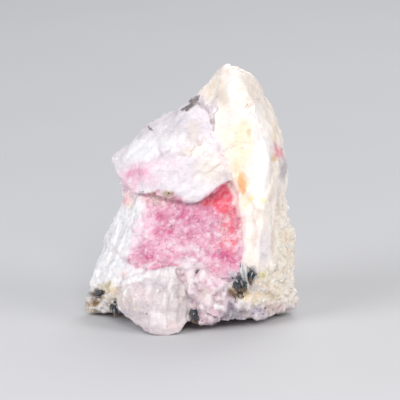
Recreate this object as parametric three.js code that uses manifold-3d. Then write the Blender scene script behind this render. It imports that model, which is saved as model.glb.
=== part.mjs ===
// A hand specimen of tugtupite: one broken stone of pale feldspar and analcime with a bed of pink tugtupite in
// its display face and a few black aegirine crystals. It is one intergrown piece, so it is one solid.
// Millimetres, +Z up, the display face towards -Y. The origin is the middle of the stone's footprint.
//
// The stone is a union of broken blocks. Each block is the convex hull of a few corners, roughened like a
// fracture, and the blocks' overlaps leave the ledges, steps and clefts of the real surface. Corners are given as
// [across, up, out] on the display face, which leans back a little: across is to the right, up runs along the
// face from the stone's lowest lump, and out is towards someone looking at the face.
import * as THREE from "three";
import { ConvexGeometry } from "three/addons/geometries/ConvexGeometry.js";
import { ImprovedNoise } from "three/addons/math/ImprovedNoise.js";
import { TessellateModifier } from "three/addons/modifiers/TessellateModifier.js";
import { mergeVertices } from "three/addons/utils/BufferGeometryUtils.js";
import Module from "manifold-3d";

const wasm = await Module();
wasm.setup();

const LEAN = THREE.MathUtils.degToRad(12); // how far the display face leans back
const FLOOR = 2.6; // height of the surface it rests on, above the face's own zero
const FACET = 3.6; // longest edge left on a block's faces
const RELIEF = 0.45; // how far a fracture face wanders from flat
const WAVES = [
  { length: 7.0, share: 0.65 },
  { length: 2.6, share: 0.35 },
];
const BIG = 200; // larger than the stone, for the cutting block

// The blocks that make the stone's body.
const BODY = {
  overhangingBlock: [
    [-16.5, 36.0, -0.8], [-15.9, 37.0, -1.4], [-13.5, 38.4, -1.2], [-8.9, 41.9, -1.4], [-4.4, 46.1, -1.2],
    [0.4, 48.4, -0.8], [-14.3, 33.4, -0.8], [-14.0, 30.8, -2.0], [-13.0, 37.2, 2.4], [-4.2, 44.2, 3.8],
    [0.6, 47.4, 4.6], [3.4, 45.6, 6.0], [4.8, 41.5, 8.2], [7.8, 34.8, 8.6], [8.4, 31.6, 7.4], [5.0, 29.4, 8.0],
    [1.5, 27.3, 7.8], [-1.5, 27.5, 8.0], [-4.5, 28.7, 8.0], [-9.5, 29.0, 5.8], [-13.0, 30.0, 2.6],
    [-5.0, 38.0, 9.2], [0.0, 35.5, 9.9], [-9.0, 34.5, 7.2], [-13.0, 36.0, -5.0], [-10.0, 32.0, -9.0],
    [-3.0, 42.5, -8.5], [4.0, 47.0, -8.0], [8.0, 42.0, -11.0], [6.0, 27.0, -14.5], [-4.0, 31.0, -12.0],
  ],
  peak: [
    [0.8, 48.3, -2.4], [4.0, 52.2, -1.0], [5.7, 54.3, -0.8], [7.2, 55.4, -0.6], [9.7, 55.0, -0.8],
    [11.8, 53.7, -1.0], [13.8, 51.8, -1.4], [17.0, 46.1, -1.8], [18.9, 40.3, -2.0], [20.1, 33.5, -1.6],
    [20.0, 31.0, -1.4], [19.1, 27.6, -2.0], [6.4, 53.2, 2.2], [9.8, 52.8, 4.0], [12.8, 49.6, 3.6],
    [4.6, 46.0, 6.4], [5.2, 41.5, 8.2], [8.4, 31.8, 8.4], [9.8, 29.0, 8.0], [12.2, 41.0, 9.6],
    [12.8, 47.0, 7.6], [15.6, 36.0, 9.6], [17.6, 33.0, 6.2], [17.0, 42.0, 5.0], [15.0, 29.0, 9.6],
    [7.0, 51.5, -5.5], [12.0, 48.0, -7.5], [16.0, 38.0, -9.0], [17.5, 25.0, -11.0], [8.0, 25.0, -16.5],
    [2.0, 44.0, -8.5],
  ],
  sparColumn: [
    [19.6, 31.5, -1.4], [19.1, 27.3, -1.8], [19.2, 25.0, -2.2], [9.8, 30.0, 8.2], [10.2, 24.0, 8.4],
    [10.6, 15.0, 9.0], [13.4, 12.8, 9.4], [16.0, 14.5, 7.4], [16.9, 20.0, 7.0], [17.4, 26.0, 6.6],
    [14.8, 26.0, 10.4], [14.0, 19.0, 10.6], [12.0, 30.0, 9.6], [16.8, 32.0, 8.0], [17.0, 26.0, -9.0],
    [12.0, 14.0, -8.0], [12.0, 30.0, -8.0],
  ],
  upperCrust: [
    [17.2, 27.4, 3.4], [19.5, 26.5, -1.2], [20.5, 22.2, -2.2], [21.4, 18.8, -2.8], [21.0, 15.2, -3.0],
    [18.2, 13.0, 5.2], [16.2, 13.0, 8.0], [16.6, 21.0, 6.6], [17.0, 20.0, -9.0], [19.0, 13.0, -9.0],
  ],
  lowerCrust: [
    [20.8, 15.3, -2.6], [21.1, 11.8, -2.4], [22.0, 8.0, -3.4], [22.3, 5.9, -4.0], [20.6, 4.5, -4.2],
    [16.6, 4.2, -0.5], [14.0, 4.6, 5.0], [13.6, 12.6, 8.6], [17.2, 15.5, 6.6], [19.0, 12.0, -9.0],
    [18.5, 5.2, -10.5],
  ],
  pinkBed: [
    [-14.0, 31.2, -2.4], [-14.0, 25.9, -2.8], [-14.5, 18.0, -6.0], [-15.0, 8.0, -10.0], [18.8, 28.0, -3.4],
    [20.0, 18.0, -6.0], [20.0, 9.0, -8.0], [-9.5, 29.5, 3.6], [-8.0, 24.0, 5.4], [-9.0, 13.0, 8.6],
    [9.6, 31.5, 4.8], [10.4, 14.0, 8.8], [14.0, 11.0, 8.0], [0.0, 11.5, 9.8], [9.5, 7.0, 8.6],
    [-11.0, 6.0, 8.0], [0.0, 5.0, 9.2], [-8.0, 35.5, -9.6], [5.0, 30.0, -14.0], [17.0, 29.0, -9.5],
    [-14.0, 18.0, -10.5], [-4.0, 19.0, -16.5], [8.0, 18.0, -18.0], [18.0, 15.0, -12.0], [-15.0, 8.0, -12.5],
    [0.0, 7.5, -19.0], [14.0, 7.0, -16.0],
  ],
  basePad: [
    [-19.5, 3.6, -8.5], [-13.0, 2.8, -5.0], [2.0, 2.8, -5.0], [12.0, 3.1, -6.5], [18.5, 3.9, -10.0],
    [14.5, 5.2, -16.0], [1.0, 5.8, -19.0], [-12.5, 4.8, -14.0], [-15.0, 9.0, -8.0], [16.0, 10.0, -8.0],
    [0.0, 12.0, -18.0], [0.0, 12.0, 4.0], [18.4, 9.0, -12.0], [-16.0, 8.0, -11.5],
  ],
  upperFlank: [
    [-14.0, 27.5, -2.2], [-14.1, 25.9, -2.4], [-15.1, 23.4, -3.2], [-17.1, 21.0, -4.2], [-18.2, 19.3, -4.8],
    [-17.6, 16.4, -5.0], [-10.0, 28.5, 3.4], [-8.2, 22.0, 5.2], [-9.0, 14.0, 7.8], [-13.0, 15.0, 5.8],
    [-15.5, 18.4, 1.2], [-12.0, 24.0, -10.0], [-14.0, 16.0, -11.0],
  ],
  lowerFlank: [
    [-17.4, 18.6, -4.9], [-17.8, 15.3, -5.0], [-19.1, 12.7, -5.6], [-21.5, 10.1, -6.2], [-22.1, 7.6, -6.4],
    [-9.0, 17.0, 6.6], [-8.4, 12.5, 8.2], [-13.0, 8.0, 6.8], [-18.0, 6.5, 1.4], [-13.6, 17.5, 3.8],
    [-14.0, 16.0, -11.0], [-17.0, 8.0, -11.0],
  ],
  leftToe: [
    [-21.4, 9.8, -6.0], [-22.3, 7.6, -6.2], [-22.1, 5.5, -5.8], [-21.2, 4.1, -5.2], [-17.6, 4.5, -3.6],
    [-15.2, 4.8, 0.8], [-14.0, 8.6, 5.4], [-17.6, 9.8, 1.6], [-17.0, 4.6, -11.0], [-14.0, 9.0, -11.5], [-12.0, 6.0, 4.0],
  ],
  lowerLump: [
    [-14.9, 10.4, 7.0], [-9.0, 13.0, 9.6], [-3.0, 13.9, 10.2], [-1.0, 9.4, 11.2], [-0.5, 5.0, 10.4],
    [-2.2, 1.2, 11.2], [-4.6, 0.0, 12.4], [-7.4, 0.4, 12.0], [-9.9, 2.5, 10.6], [-13.0, 3.7, 8.4],
    [-15.2, 5.1, 5.6], [-15.4, 7.6, 6.2], [-5.5, 6.5, 13.0], [-9.6, 7.6, 11.8], [-4.2, 10.6, 12.0],
    [-13.0, 6.0, -4.0], [-1.5, 5.0, -4.0], [-4.0, 1.4, 3.0], [-8.0, 1.6, 2.0], [-7.0, 2.6, -5.0],
    [-6.0, 15.0, 6.0],
  ],
  frontSill: [
    [-15.0, 5.2, 4.5], [-10.0, 3.7, 8.4], [-1.0, 3.1, 10.6], [1.2, 3.5, 10.4], [6.0, 3.9, 9.8],
    [10.0, 4.2, 7.5], [10.0, 11.0, 9.9], [0.0, 13.0, 10.3], [-9.0, 12.0, 9.4], [-12.0, 4.4, -6.0],
    [10.0, 4.4, -6.0],
  ],
  middleLump: [
    [0.6, 4.8, 9.6], [1.9, 2.7, 10.2], [3.0, 2.4, 10.4], [4.8, 3.6, 9.8], [6.4, 5.2, 9.8], [6.6, 10.0, 10.2],
    [2.2, 15.0, 9.6], [-1.6, 14.4, 9.6], [-0.2, 8.0, 10.8], [2.8, 6.5, 11.6], [1.5, 4.0, 0.0], [4.5, 4.0, 0.0],
  ],
  foot: [
    [5.8, 4.4, 8.2], [8.7, 4.2, 6.0], [11.6, 3.9, 6.2], [13.6, 3.6, 5.2], [16.6, 4.2, 1.0], [20.5, 4.8, -3.4],
    [17.0, 9.0, 5.8], [13.5, 10.6, 9.0], [9.0, 11.5, 9.9], [5.5, 10.5, 10.2], [7.0, 4.2, -6.0],
    [17.0, 4.8, -9.0],
  ],
};

// Patches of small crust lumps on the right side and the foot: four corners, and how many lumps lie between them.
const CRUST_PATCHES = [
  { corners: [[16.0, 26.5, 4.6], [18.2, 26.5, -1.4], [16.0, 13.5, 4.8], [19.4, 13.5, -2.2]], count: 13, size: 4.4 },
  { corners: [[15.8, 13.5, 5.0], [19.2, 13.5, -2.2], [15.4, 6.8, 4.0], [19.4, 7.4, -3.4]], count: 9, size: 4.2 },
  { corners: [[8.8, 9.6, 8.0], [15.0, 10.2, 5.8], [7.4, 6.0, 7.4], [15.0, 6.0, 3.2]], count: 7, size: 4.2 },
];

// Scars where flakes broke off the back and the sides: each is a shallow cap of a ball, given by its deepest
// point on the face, the way it looks out, its depth and the ball's radius.
const SCARS = [
  { on: [-4.0, 38.0, -10.4], towards: [-0.25, 0.35, -0.9], depth: 1.4, radius: 24 },
  { on: [12.5, 40.0, -9.4], towards: [0.35, 0.25, -0.9], depth: 1.2, radius: 26 },
  { on: [-7.0, 18.0, -15.0], towards: [-0.35, 0.0, -0.94], depth: 1.5, radius: 30 },
  { on: [10.0, 20.0, -17.2], towards: [0.25, 0.15, -0.96], depth: 1.3, radius: 26 },
  { on: [19.2, 34.0, -6.0], towards: [0.95, 0.1, -0.3], depth: 0.8, radius: 20 },
  { on: [-16.0, 13.0, -10.5], towards: [-0.85, 0.1, -0.5], depth: 1.0, radius: 18 },
  { on: [18.6, 14.0, -9.0], towards: [0.9, 0.0, -0.4], depth: 0.9, radius: 18 },
];
const SCAR_FACETS = 7;

// Crystals that stand on the display face: black aegirine prisms and one blade of white spar.
const CRYSTALS = [
  { root: [10.1, 9.3, 9.2], tip: [8.8, 11.0, 12.3], thick: 1.5 },
  { root: [10.0, 9.5, 9.2], tip: [9.8, 12.2, 12.1], thick: 1.4 },
  { root: [10.7, 9.3, 9.2], tip: [10.7, 11.0, 12.2], thick: 1.2 },
  { root: [12.0, 10.8, 8.6], tip: [12.2, 13.3, 11.4], thick: 1.3 },
  { root: [12.2, 11.0, 8.6], tip: [13.0, 12.4, 11.0], thick: 0.9 },
  { root: [11.4, 10.4, 8.8], tip: [10.5, 14.6, 11.6], thick: 1.1 },
  { root: [0.6, 2.9, 9.2], tip: [0.3, 5.4, 12.0], thick: 1.6 },
  { root: [1.1, 2.7, 9.2], tip: [1.0, 4.3, 11.7], thick: 1.1 },
  { root: [-20.3, 8.2, -2.4], tip: [-18.2, 8.7, 1.3], thick: 0.9 },
  { root: [-15.4, 3.8, 1.0], tip: [-15.9, 6.2, 4.2], thick: 1.0 },
  { root: [1.2, 48.6, 1.4], tip: [-1.2, 45.7, 6.2], thick: 0.8 },
];
const CRYSTAL_SIDES = 6;
const CRYSTAL_SHOULDER = 0.8; // the share of a crystal's length below its pointed end
const CRYSTAL_FLAT = 0.75; // its thickness one way against the other

const noise = new ImprovedNoise();

// A corner on the leaning face, in the stone's upright frame.
function onFace([across, up, out]) {
  return new THREE.Vector3(
    across,
    up * Math.sin(LEAN) - out * Math.cos(LEAN),
    up * Math.cos(LEAN) + out * Math.sin(LEAN) - FLOOR,
  );
}

// A fixed number between 0 and 1 that looks random, for each lump and use.
function chance(lump, use) {
  const wave = Math.sin(lump * 127.1 + use * 311.7) * 43758.5453;
  return wave - Math.floor(wave);
}

// Moves each vertex along its normal by a few waves of noise, so that a flat face looks broken.
function roughen(geometry, relief) {
  const place = geometry.getAttribute("position");
  geometry.computeVertexNormals();
  const normal = geometry.getAttribute("normal");
  for (let i = 0; i < place.count; i++) {
    const p = new THREE.Vector3().fromBufferAttribute(place, i);
    const n = new THREE.Vector3().fromBufferAttribute(normal, i);
    const height = WAVES.reduce(
      (sum, { length, share }) => sum + share * noise.noise(p.x / length, p.y / length, p.z / length),
      0,
    );
    p.addScaledVector(n, 2 * relief * height);
    place.setXYZ(i, p.x, p.y, p.z);
  }
  geometry.deleteAttribute("normal");
  return geometry;
}

// A geometry with only its positions, and each shared corner once.
function joined(geometry) {
  const plain = new THREE.BufferGeometry().setAttribute("position", geometry.getAttribute("position"));
  if (geometry.index) plain.setIndex(geometry.index);
  return mergeVertices(plain, 1e-4);
}

// A three.js geometry as a manifold-3d solid, and back.
function solidOf(geometry) {
  const merged = joined(geometry);
  return new wasm.Manifold(
    new wasm.Mesh({
      numProp: 3,
      vertProperties: merged.getAttribute("position").array,
      triVerts: new Uint32Array(merged.index.array),
    }),
  );
}

function geometryOf(solid) {
  const mesh = solid.getMesh();
  return new THREE.BufferGeometry()
    .setAttribute("position", new THREE.BufferAttribute(mesh.vertProperties, 3))
    .setIndex(new THREE.BufferAttribute(mesh.triVerts, 1));
}

// A broken block: the hull of its corners, cut into small facets and roughened.
function block(corners) {
  const hull = new ConvexGeometry(corners.map(onFace));
  hull.deleteAttribute("normal");
  const fine = new TessellateModifier(FACET, 30).modify(hull);
  return solidOf(roughen(joined(fine), RELIEF));
}

// A patch of crust lumps: squashed twenty-sided stones, each with its own place, sides and turn.
function crustPatch({ corners, count, size }, patch) {
  const [a, b, c, d] = corners.map(onFace);
  return Array.from({ length: count }, (_, i) => {
    const lump = patch * 20 + i;
    const side = (use) => 0.7 + 0.6 * chance(lump, use);
    const turn = (use) => Math.PI * chance(lump, use);
    const geometry = new THREE.IcosahedronGeometry(size / 2).scale(side(1), side(2), side(3));
    geometry.rotateX(turn(4)).rotateY(turn(5)).rotateZ(turn(6));
    const top = a.clone().lerp(b, chance(lump, 7));
    const bottom = c.clone().lerp(d, chance(lump, 7));
    const place = top.lerp(bottom, (i + chance(lump, 8)) / count);
    geometry.translate(place.x, place.y, place.z);
    return solidOf(geometry);
  });
}

// A scar's ball, whose shallow cap is taken out of the body.
function scar({ on, towards, depth, radius }) {
  const out = new THREE.Vector3(...towards).normalize().multiplyScalar(radius - depth);
  const middle = onFace([on[0] + out.x, on[1] + out.y, on[2] + out.z]);
  const ball = new THREE.IcosahedronGeometry(radius, SCAR_FACETS).translate(middle.x, middle.y, middle.z);
  return solidOf(roughen(joined(ball), RELIEF));
}

// A prism with a pointed end, from its root inside the stone to its tip.
function crystal({ root, tip, thick }) {
  const start = onFace(root);
  const end = onFace(tip);
  const along = end.clone().sub(start);
  const turn = new THREE.Quaternion().setFromUnitVectors(new THREE.Vector3(0, 0, 1), along.clone().normalize());
  const ring = (height) =>
    Array.from({ length: CRYSTAL_SIDES }, (_, i) => {
      const angle = (2 * Math.PI * i) / CRYSTAL_SIDES;
      const corner = new THREE.Vector3(Math.cos(angle), CRYSTAL_FLAT * Math.sin(angle), 0);
      return corner.multiplyScalar(thick / 2).applyQuaternion(turn).addScaledVector(along, height).add(start);
    });
  return solidOf(new ConvexGeometry([...ring(0), ...ring(CRYSTAL_SHOULDER), end]));
}

// The surface that the stone rests on, as a block under it.
function underFloor() {
  return solidOf(new THREE.BoxGeometry(BIG, BIG, BIG).translate(0, 0, -BIG / 2));
}

const grown = [
  ...Object.values(BODY).map(block),
  ...CRUST_PATCHES.flatMap(crustPatch),
].reduce((whole, next) => whole.add(next));
const broken = SCARS.map(scar).reduce((whole, next) => whole.subtract(next), grown);
const whole = CRYSTALS.map(crystal).reduce((stone, next) => stone.add(next), broken).subtract(underFloor());

// Blocks that lean on each other can leave a gap sealed inside, so only the outer skin is kept.
const skin = whole.decompose().reduce((largest, next) => (next.volume() > largest.volume() ? next : largest));

const geometry = geometryOf(skin);
geometry.computeBoundingBox();
const middle = geometry.boundingBox.getCenter(new THREE.Vector3());
geometry.translate(-middle.x, -middle.y, 0);

const stone = new THREE.Mesh(
  geometry,
  new THREE.MeshStandardMaterial({ color: 0xf0e4e2, roughness: 0.55, metalness: 0 }),
);
stone.name = "tugtupite_stone";

const specimen = new THREE.Group();
specimen.add(stone);
export default specimen;
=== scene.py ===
"""A tugtupite hand specimen: a broken stone of milky spar, pink tugtupite and black aegirine."""
import math
from collections import namedtuple

import bmesh
import bpy
import numpy as np
from bpy.props import FloatProperty, FloatVectorProperty, IntProperty, PointerProperty
from mathutils import Matrix, Quaternion, Vector, noise
from mathutils.bvhtree import BVHTree


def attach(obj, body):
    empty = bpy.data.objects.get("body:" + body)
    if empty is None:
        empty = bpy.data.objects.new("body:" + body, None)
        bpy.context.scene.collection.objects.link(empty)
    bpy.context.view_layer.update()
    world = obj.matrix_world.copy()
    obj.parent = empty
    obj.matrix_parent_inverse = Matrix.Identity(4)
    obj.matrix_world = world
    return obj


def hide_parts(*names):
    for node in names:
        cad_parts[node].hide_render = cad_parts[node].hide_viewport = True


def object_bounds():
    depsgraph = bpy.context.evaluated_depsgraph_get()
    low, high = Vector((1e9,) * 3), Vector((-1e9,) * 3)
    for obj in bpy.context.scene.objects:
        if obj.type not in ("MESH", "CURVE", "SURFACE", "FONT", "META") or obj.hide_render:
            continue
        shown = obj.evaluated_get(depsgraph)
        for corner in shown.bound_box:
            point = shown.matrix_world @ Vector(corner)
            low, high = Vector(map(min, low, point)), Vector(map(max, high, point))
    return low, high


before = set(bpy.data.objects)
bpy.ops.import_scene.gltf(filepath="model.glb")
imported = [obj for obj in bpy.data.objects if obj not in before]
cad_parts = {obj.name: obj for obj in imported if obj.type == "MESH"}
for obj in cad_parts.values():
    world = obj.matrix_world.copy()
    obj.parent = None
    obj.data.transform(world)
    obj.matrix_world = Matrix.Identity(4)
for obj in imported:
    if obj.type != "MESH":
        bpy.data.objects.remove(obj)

bl_info = {
    "name": "Tugtupite specimen",
    "version": (1, 0, 0),
    "blender": (4, 5, 0),
    "location": "View3D > Sidebar > Tugtupite",
    "description": "Finishes a packed tugtupite specimen: its broken surface, minerals and studio",
    "category": "Object",
}

CAD_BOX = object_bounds()
NODE = "tugtupite_stone"
SKIN = "stone_skin"
MM = 0.001

# The display face: it leans back from upright, and its across, up and out are counted in
# millimetres from a corner of its own, which lies here in the stone's frame.
LEAN = math.radians(12)
FACE_CORNER = np.array([-0.20, -4.56, -2.60])
RIM_OUT = (-9.0, -5.0)  # the face's paint fades out over this stretch behind the stone's rim
CHIP_STEP = 1.4  # how steeply one flat chip of the break drops to the next
BASE_FADE = 0.9  # millimetres over the flat base in which the relief fades in
GRAIN_FLOOR = 0.8  # millimetres over the base below which no grain is set
CLEAR_OUT = 40  # millimetres out from the face's corner, clear of all the stone
SEED_STEP = 17.3  # how far apart the noises of two seeds lie, in bumps
SCATTER = np.array([[127.1, 269.5, 419.2], [311.7, 183.3, 371.9], [74.7, 246.1, 113.5]])
SCATTER_SCALE = 43758.5453  # with these odd numbers, near places give numbers far apart

# The camera looks square at the display face: what lies in the middle of the picture, and how
# wide the picture is there, in millimetres.
VIEW_AIM = (1.83, 27.6, -1.5)
VIEW_WIDTH = 82.4


# ---------------------------------------- places and shapes on the display face

def face_axes():
    """The face's across, up and out directions, as rows."""
    return np.array([
        [1, 0, 0],
        [0, math.sin(LEAN), math.cos(LEAN)],
        [0, -math.cos(LEAN), math.sin(LEAN)],
    ])


def to_face(points):
    """Points in metres as across, up and out in millimetres."""
    return (points / MM - FACE_CORNER) @ face_axes().T


def from_face(place):
    """Across, up and out in millimetres as points in metres."""
    return (np.asarray(place, float) @ face_axes() + FACE_CORNER) * MM


def ease(value, low, high):
    """0 below low, 1 above high, and a smooth step between."""
    t = np.clip((value - low) / (high - low), 0, 1)
    return t * t * (3 - 2 * t)


def rolling(place, length, seed):
    """Rolling noise from about -1 to 1. The length of its bumps is one number, or one each way."""
    spots = (place / length + SEED_STEP * seed).tolist()
    return np.array([noise.noise(spot) for spot in spots])


def turned(places, turn):
    """How far across and along each place is, after a turn of so many degrees from up."""
    angle = math.radians(turn)
    across = places[:, 0] * math.cos(angle) - places[:, 1] * math.sin(angle)
    along = places[:, 0] * math.sin(angle) + places[:, 1] * math.cos(angle)
    return across, along


def fibres(place, turn, width, length, seed):
    """Long ridges that run `turn` degrees from up, `width` wide and `length` long."""
    across, along = turned(place, turn)
    rows = np.column_stack([across, along, place[:, 2]])
    return rolling(rows, np.array([width, length, 2 * width]), seed)


def cleavage(place, turn, width, seed):
    """Thin sheets that overlap like shingles, 0 to 1. Their edges are `turn` degrees from up."""
    across, _ = turned(place, turn)
    phase = across / width + 0.9 * rolling(place, 5 * width, seed)
    phase += 0.25 * rolling(place, width, seed + 1)
    rise = phase - np.floor(phase)
    return rise * (1 - ease(rise, 0.86, 1.0))


def chance(spots):
    """Three fixed numbers from 0 to 1 for each spot that look random."""
    wave = np.sin(spots @ SCATTER) * SCATTER_SCALE
    return wave - np.floor(wave)


class Grains:
    """Packed grains of one size, and the flat chips that break off between them."""

    def __init__(self, place, size, seed):
        spots = place / size + SEED_STEP * seed
        found = [noise.voronoi(spot) for spot in spots.tolist()]
        reach = np.array([one[0] for one in found])
        middles = np.array([[tuple(middle) for middle in one[1]] for one in found])
        tilts = 2 * chance(middles) - 1
        planes = ((spots[:, None] - middles) * tilts).sum(2)
        behind = reach - reach[:, :1]
        self.dome = 1 - reach[:, 0] ** 2
        self.ridges = (planes - CHIP_STEP * behind).max(1)
        self.valleys = (planes + CHIP_STEP * behind).min(1)


def to_line(spots, points):
    """How far each spot is from a line through the points, and how far along it, from 0 to 1."""
    ends = np.array(points, float)
    steps = np.diff(ends, axis=0)
    lengths = np.hypot(*steps.T)
    starts = np.concatenate([[0], np.cumsum(lengths)[:-1]])
    best = np.full(len(spots), 1e9)
    along = np.zeros(len(spots))
    for start, step, length, passed in zip(ends, steps, lengths, starts):
        t = np.clip(((spots - start) @ step) / length**2, 0, 1)
        away = np.hypot(*(spots - start - t[:, None] * step).T)
        nearer = away < best
        best = np.where(nearer, away, best)
        along = np.where(nearer, passed + t * length, along)
    return best, along / lengths.sum()


def in_outline(spots, outline, soft):
    """1 well inside a closed outline, 0 well outside, and a smooth step `soft` wide across it."""
    away, _ = to_line(spots, outline + outline[:1])
    inside = np.zeros(len(spots), bool)
    for (x0, y0), (x1, y1) in zip(outline, outline[1:] + outline[:1]):
        if y0 == y1:
            continue
        crosses = (y0 > spots[:, 1]) != (y1 > spots[:, 1])
        inside ^= crosses & (spots[:, 0] < (x1 - x0) * (spots[:, 1] - y0) / (y1 - y0) + x0)
    return ease(np.where(inside, away, -away), -soft / 2, soft / 2)


def in_oval(spots, at, size, turn):
    """1 in the middle of an oval, 0 just past its rim. Size is its half width and half height."""
    wide, tall = turned(spots - np.array(at), -turn)
    return 1 - ease(np.hypot(wide / size[0], tall / size[1]), 0.45, 1.25)


# ---------------------------------------- what lies where on the display face

Cut = namedtuple("Cut", "deep wide line")
Break = namedtuple("Break", "rough lumps facets chips grain fibre sheets turn")
Shaft = namedtuple("Shaft", "root tip thick")
Spray = namedtuple("Spray", "at apart turn fan long wide count")
Group = namedtuple("Group", "near apart long wide count")

# The face's parts, as outlines of across and up in millimetres.
PARTS = {
    "block": [
        (-18, 37), (-15, 40), (-10, 43), (-5, 46), (0, 49.5), (1.6, 49), (3.2, 47.6), (4.5, 45.3),
        (4.6, 43.2), (4.5, 41.2), (6.9, 37.6), (8.3, 31.5), (6.5, 30.7), (4.7, 29.4), (3.2, 28.4),
        (1.4, 27), (-1.2, 27.2), (-3.5, 28.8), (-6.3, 29.4), (-10.4, 29.6), (-13, 31), (-18, 33),
    ],
    "bed": [
        (-10.2, 28.4), (-6.3, 29.2), (-3.5, 28.6), (-1.2, 27), (1.4, 26.8), (3.4, 28.2),
        (5.1, 29.2), (7.3, 30.7), (9.0, 27.2), (9.4, 24.4), (9.8, 20.9), (9.9, 16.2), (9.0, 13.8),
        (4.9, 12.2), (1.8, 14.8), (-5.3, 16.2), (-11.4, 13.6), (-13.2, 15), (-10.8, 19.3),
        (-8.9, 24),
    ],
    "coral": [
        (7.3, 30.7), (8.4, 28.6), (9.3, 26.6), (8.2, 25.2), (6.2, 24.9), (3.6, 26.2), (2.4, 27.4),
        (5.1, 29.2),
    ],
    "flank": [
        (-16, 30), (-10.4, 29.4), (-8.9, 26), (-10.8, 19.3), (-13.2, 15), (-11.4, 13),
        (-14.6, 10.6), (-16, 9.3), (-24, 7), (-24, 12), (-19, 20),
    ],
    "toe": [(-25, 9.6), (-19, 9.8), (-16, 10), (-14.4, 7.5), (-15.2, 3), (-25, 2)],
    "lump": [
        (-14.6, 10.8), (-11.4, 11.8), (-8.3, 13), (-4.3, 13.8), (-2.6, 13.2), (-1.6, 11.2),
        (-0.4, 7.1), (-0.4, 3), (-3, -2), (-9, -2), (-13, 1), (-15.2, 4),
    ],
    "sill": [
        (-2.4, 13.6), (1.8, 14.8), (4.9, 12.2), (9.4, 13.6), (8.8, 9.1), (7.5, 6.1), (6.3, 3),
        (3, 0), (0, 1), (-0.3, 7.1), (-1.4, 11.2),
    ],
    "column": [
        (1.2, 49), (5, 54), (7.5, 58), (14, 57), (18, 46), (21, 38), (22, 30), (20.5, 27.6),
        (17.7, 26.4), (16.8, 14.2), (13.6, 13), (10.9, 14.6), (10.9, 20.9), (9.7, 27.2),
        (7.6, 30.7), (8.4, 31.5), (7, 37.6), (4.6, 41.2), (4.7, 45.3), (3.4, 47.6),
    ],
    "crust": [
        (20.4, 28), (24, 22), (24, 2), (12, 1), (9.6, 6), (9.1, 9.1), (11.2, 11.2), (13.6, 12.8),
        (16.8, 14.2), (17.7, 26.4),
    ],
    "foot": [(5.6, 7), (9.9, 7.3), (14.4, 6.3), (19.1, 5.9), (24, 6.6), (24, 1), (5, 1)],
}

# Cracks, grooves and ridges cut into the face: how deep (raised where negative) and how wide
# each is, and its line.
CUTS = [
    Cut(0.12, 0.5, [(3.2, 48.4), (4.6, 46.5), (4.7, 44.1), (4.4, 42.4), (4.3, 40.8)]),
    Cut(0.12, 1.4, [(4.3, 40.8), (5.5, 39.2), (6.9, 37.2), (7.9, 34.5), (8.3, 31.5)]),
    Cut(0.18, 0.5, [(8.6, 31.5), (6.5, 30.5), (4.7, 29.2), (3.2, 28.2), (1.4, 26.9), (-1.2, 27)]),
    Cut(0.12, 0.6, [(-1.2, 27), (-3.5, 28.5), (-6.3, 29.1), (-10.4, 29.2)]),
    Cut(0.5, 0.8, [(-5.3, 16), (-4.1, 14.8), (-2.6, 13.4), (-1.5, 11), (-0.5, 7.7), (-0.3, 4)]),
    Cut(0.5, 0.9, [(-13.4, 12.4), (-14.4, 11.1), (-15.2, 9.6)]),
    Cut(-0.45, 0.8, [(-14.4, 10.4), (-11.4, 11.2), (-8.6, 12.1), (-5, 13)]),
    Cut(-0.3, 0.6, [(-14.4, 10.2), (-13.4, 8.6), (-12.6, 6.8)]),
    Cut(0.1, 0.5, [(5.2, 47.6), (4.8, 45.4), (4.5, 43.3)]),
    Cut(0.55, 0.8, [(18.4, 29.4), (18.2, 26.5), (17.6, 22), (17.0, 18)]),
    Cut(0.35, 0.9, [(16.7, 25), (16.8, 20), (16.9, 16)]),
    Cut(0.25, 0.9, [(12.8, 22.5), (12.9, 19), (12.9, 16)]),
    Cut(0.3, 0.5, [(-3.4, 36.6), (-1.6, 36.6), (0.2, 36.3)]),
    Cut(-0.18, 0.7, [(0.2, 36.3), (0.8, 38.6), (2.7, 39.9), (5.0, 38.4), (6.8, 36.4)]),
    Cut(0.35, 0.8, [(-7.2, 38.2), (-6.6, 36.8), (-6, 35.6)]),
    Cut(0.7, 1.0, [(7.6, 7.4), (8.1, 5.4), (9.2, 4)]),
    Cut(0.4, 0.9, [(8.4, 12.6), (7.9, 10.4), (8.2, 7.8)]),
    Cut(0.2, 0.7, [(14.4, 55), (15.4, 49), (17.2, 42), (18.2, 37)]),
    Cut(0.25, 1.2, [(10.3, 52), (10.6, 46), (10.2, 41)]),
]

# How each part's surface is broken: its roughness against the usual, then millimetres of relief
# in lumps, broad flat facets, small chips, packed grains, fibres and cleavage sheets, and the
# turn of those two from upright.
BREAKS = {
    "block": Break(0.45, 0.15, 0.45, 0.10, 0.02, 0.05, 0.10, 48),
    "bed": Break(1.00, 0.18, 0.30, 0.30, 0.24, 0.00, 0.00, 0),
    "coral": Break(0.50, 0.10, 0.30, 0.25, 0.05, 0.00, 0.00, 0),
    "flank": Break(0.70, 0.12, 0.40, 0.20, 0.03, 0.22, 0.34, 26),
    "toe": Break(1.30, 0.20, 0.80, 0.55, 0.20, 0.00, 0.00, 0),
    "lump": Break(0.35, 0.10, 0.65, 0.12, 0.02, 0.14, 0.26, -4),
    "sill": Break(0.90, 0.18, 0.80, 0.55, 0.10, 0.08, 0.15, 14),
    "column": Break(0.14, 0.10, 0.28, 0.03, 0.00, 0.12, 0.05, -3),
    "crust": Break(1.20, 0.22, 0.50, 0.45, 0.30, 0.00, 0.00, 0),
    "foot": Break(1.00, 0.20, 0.80, 0.60, 0.12, 0.08, 0.15, -24),
    "back": Break(0.80, 0.25, 0.85, 0.40, 0.10, 0.06, 0.12, 30),
}

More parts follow.
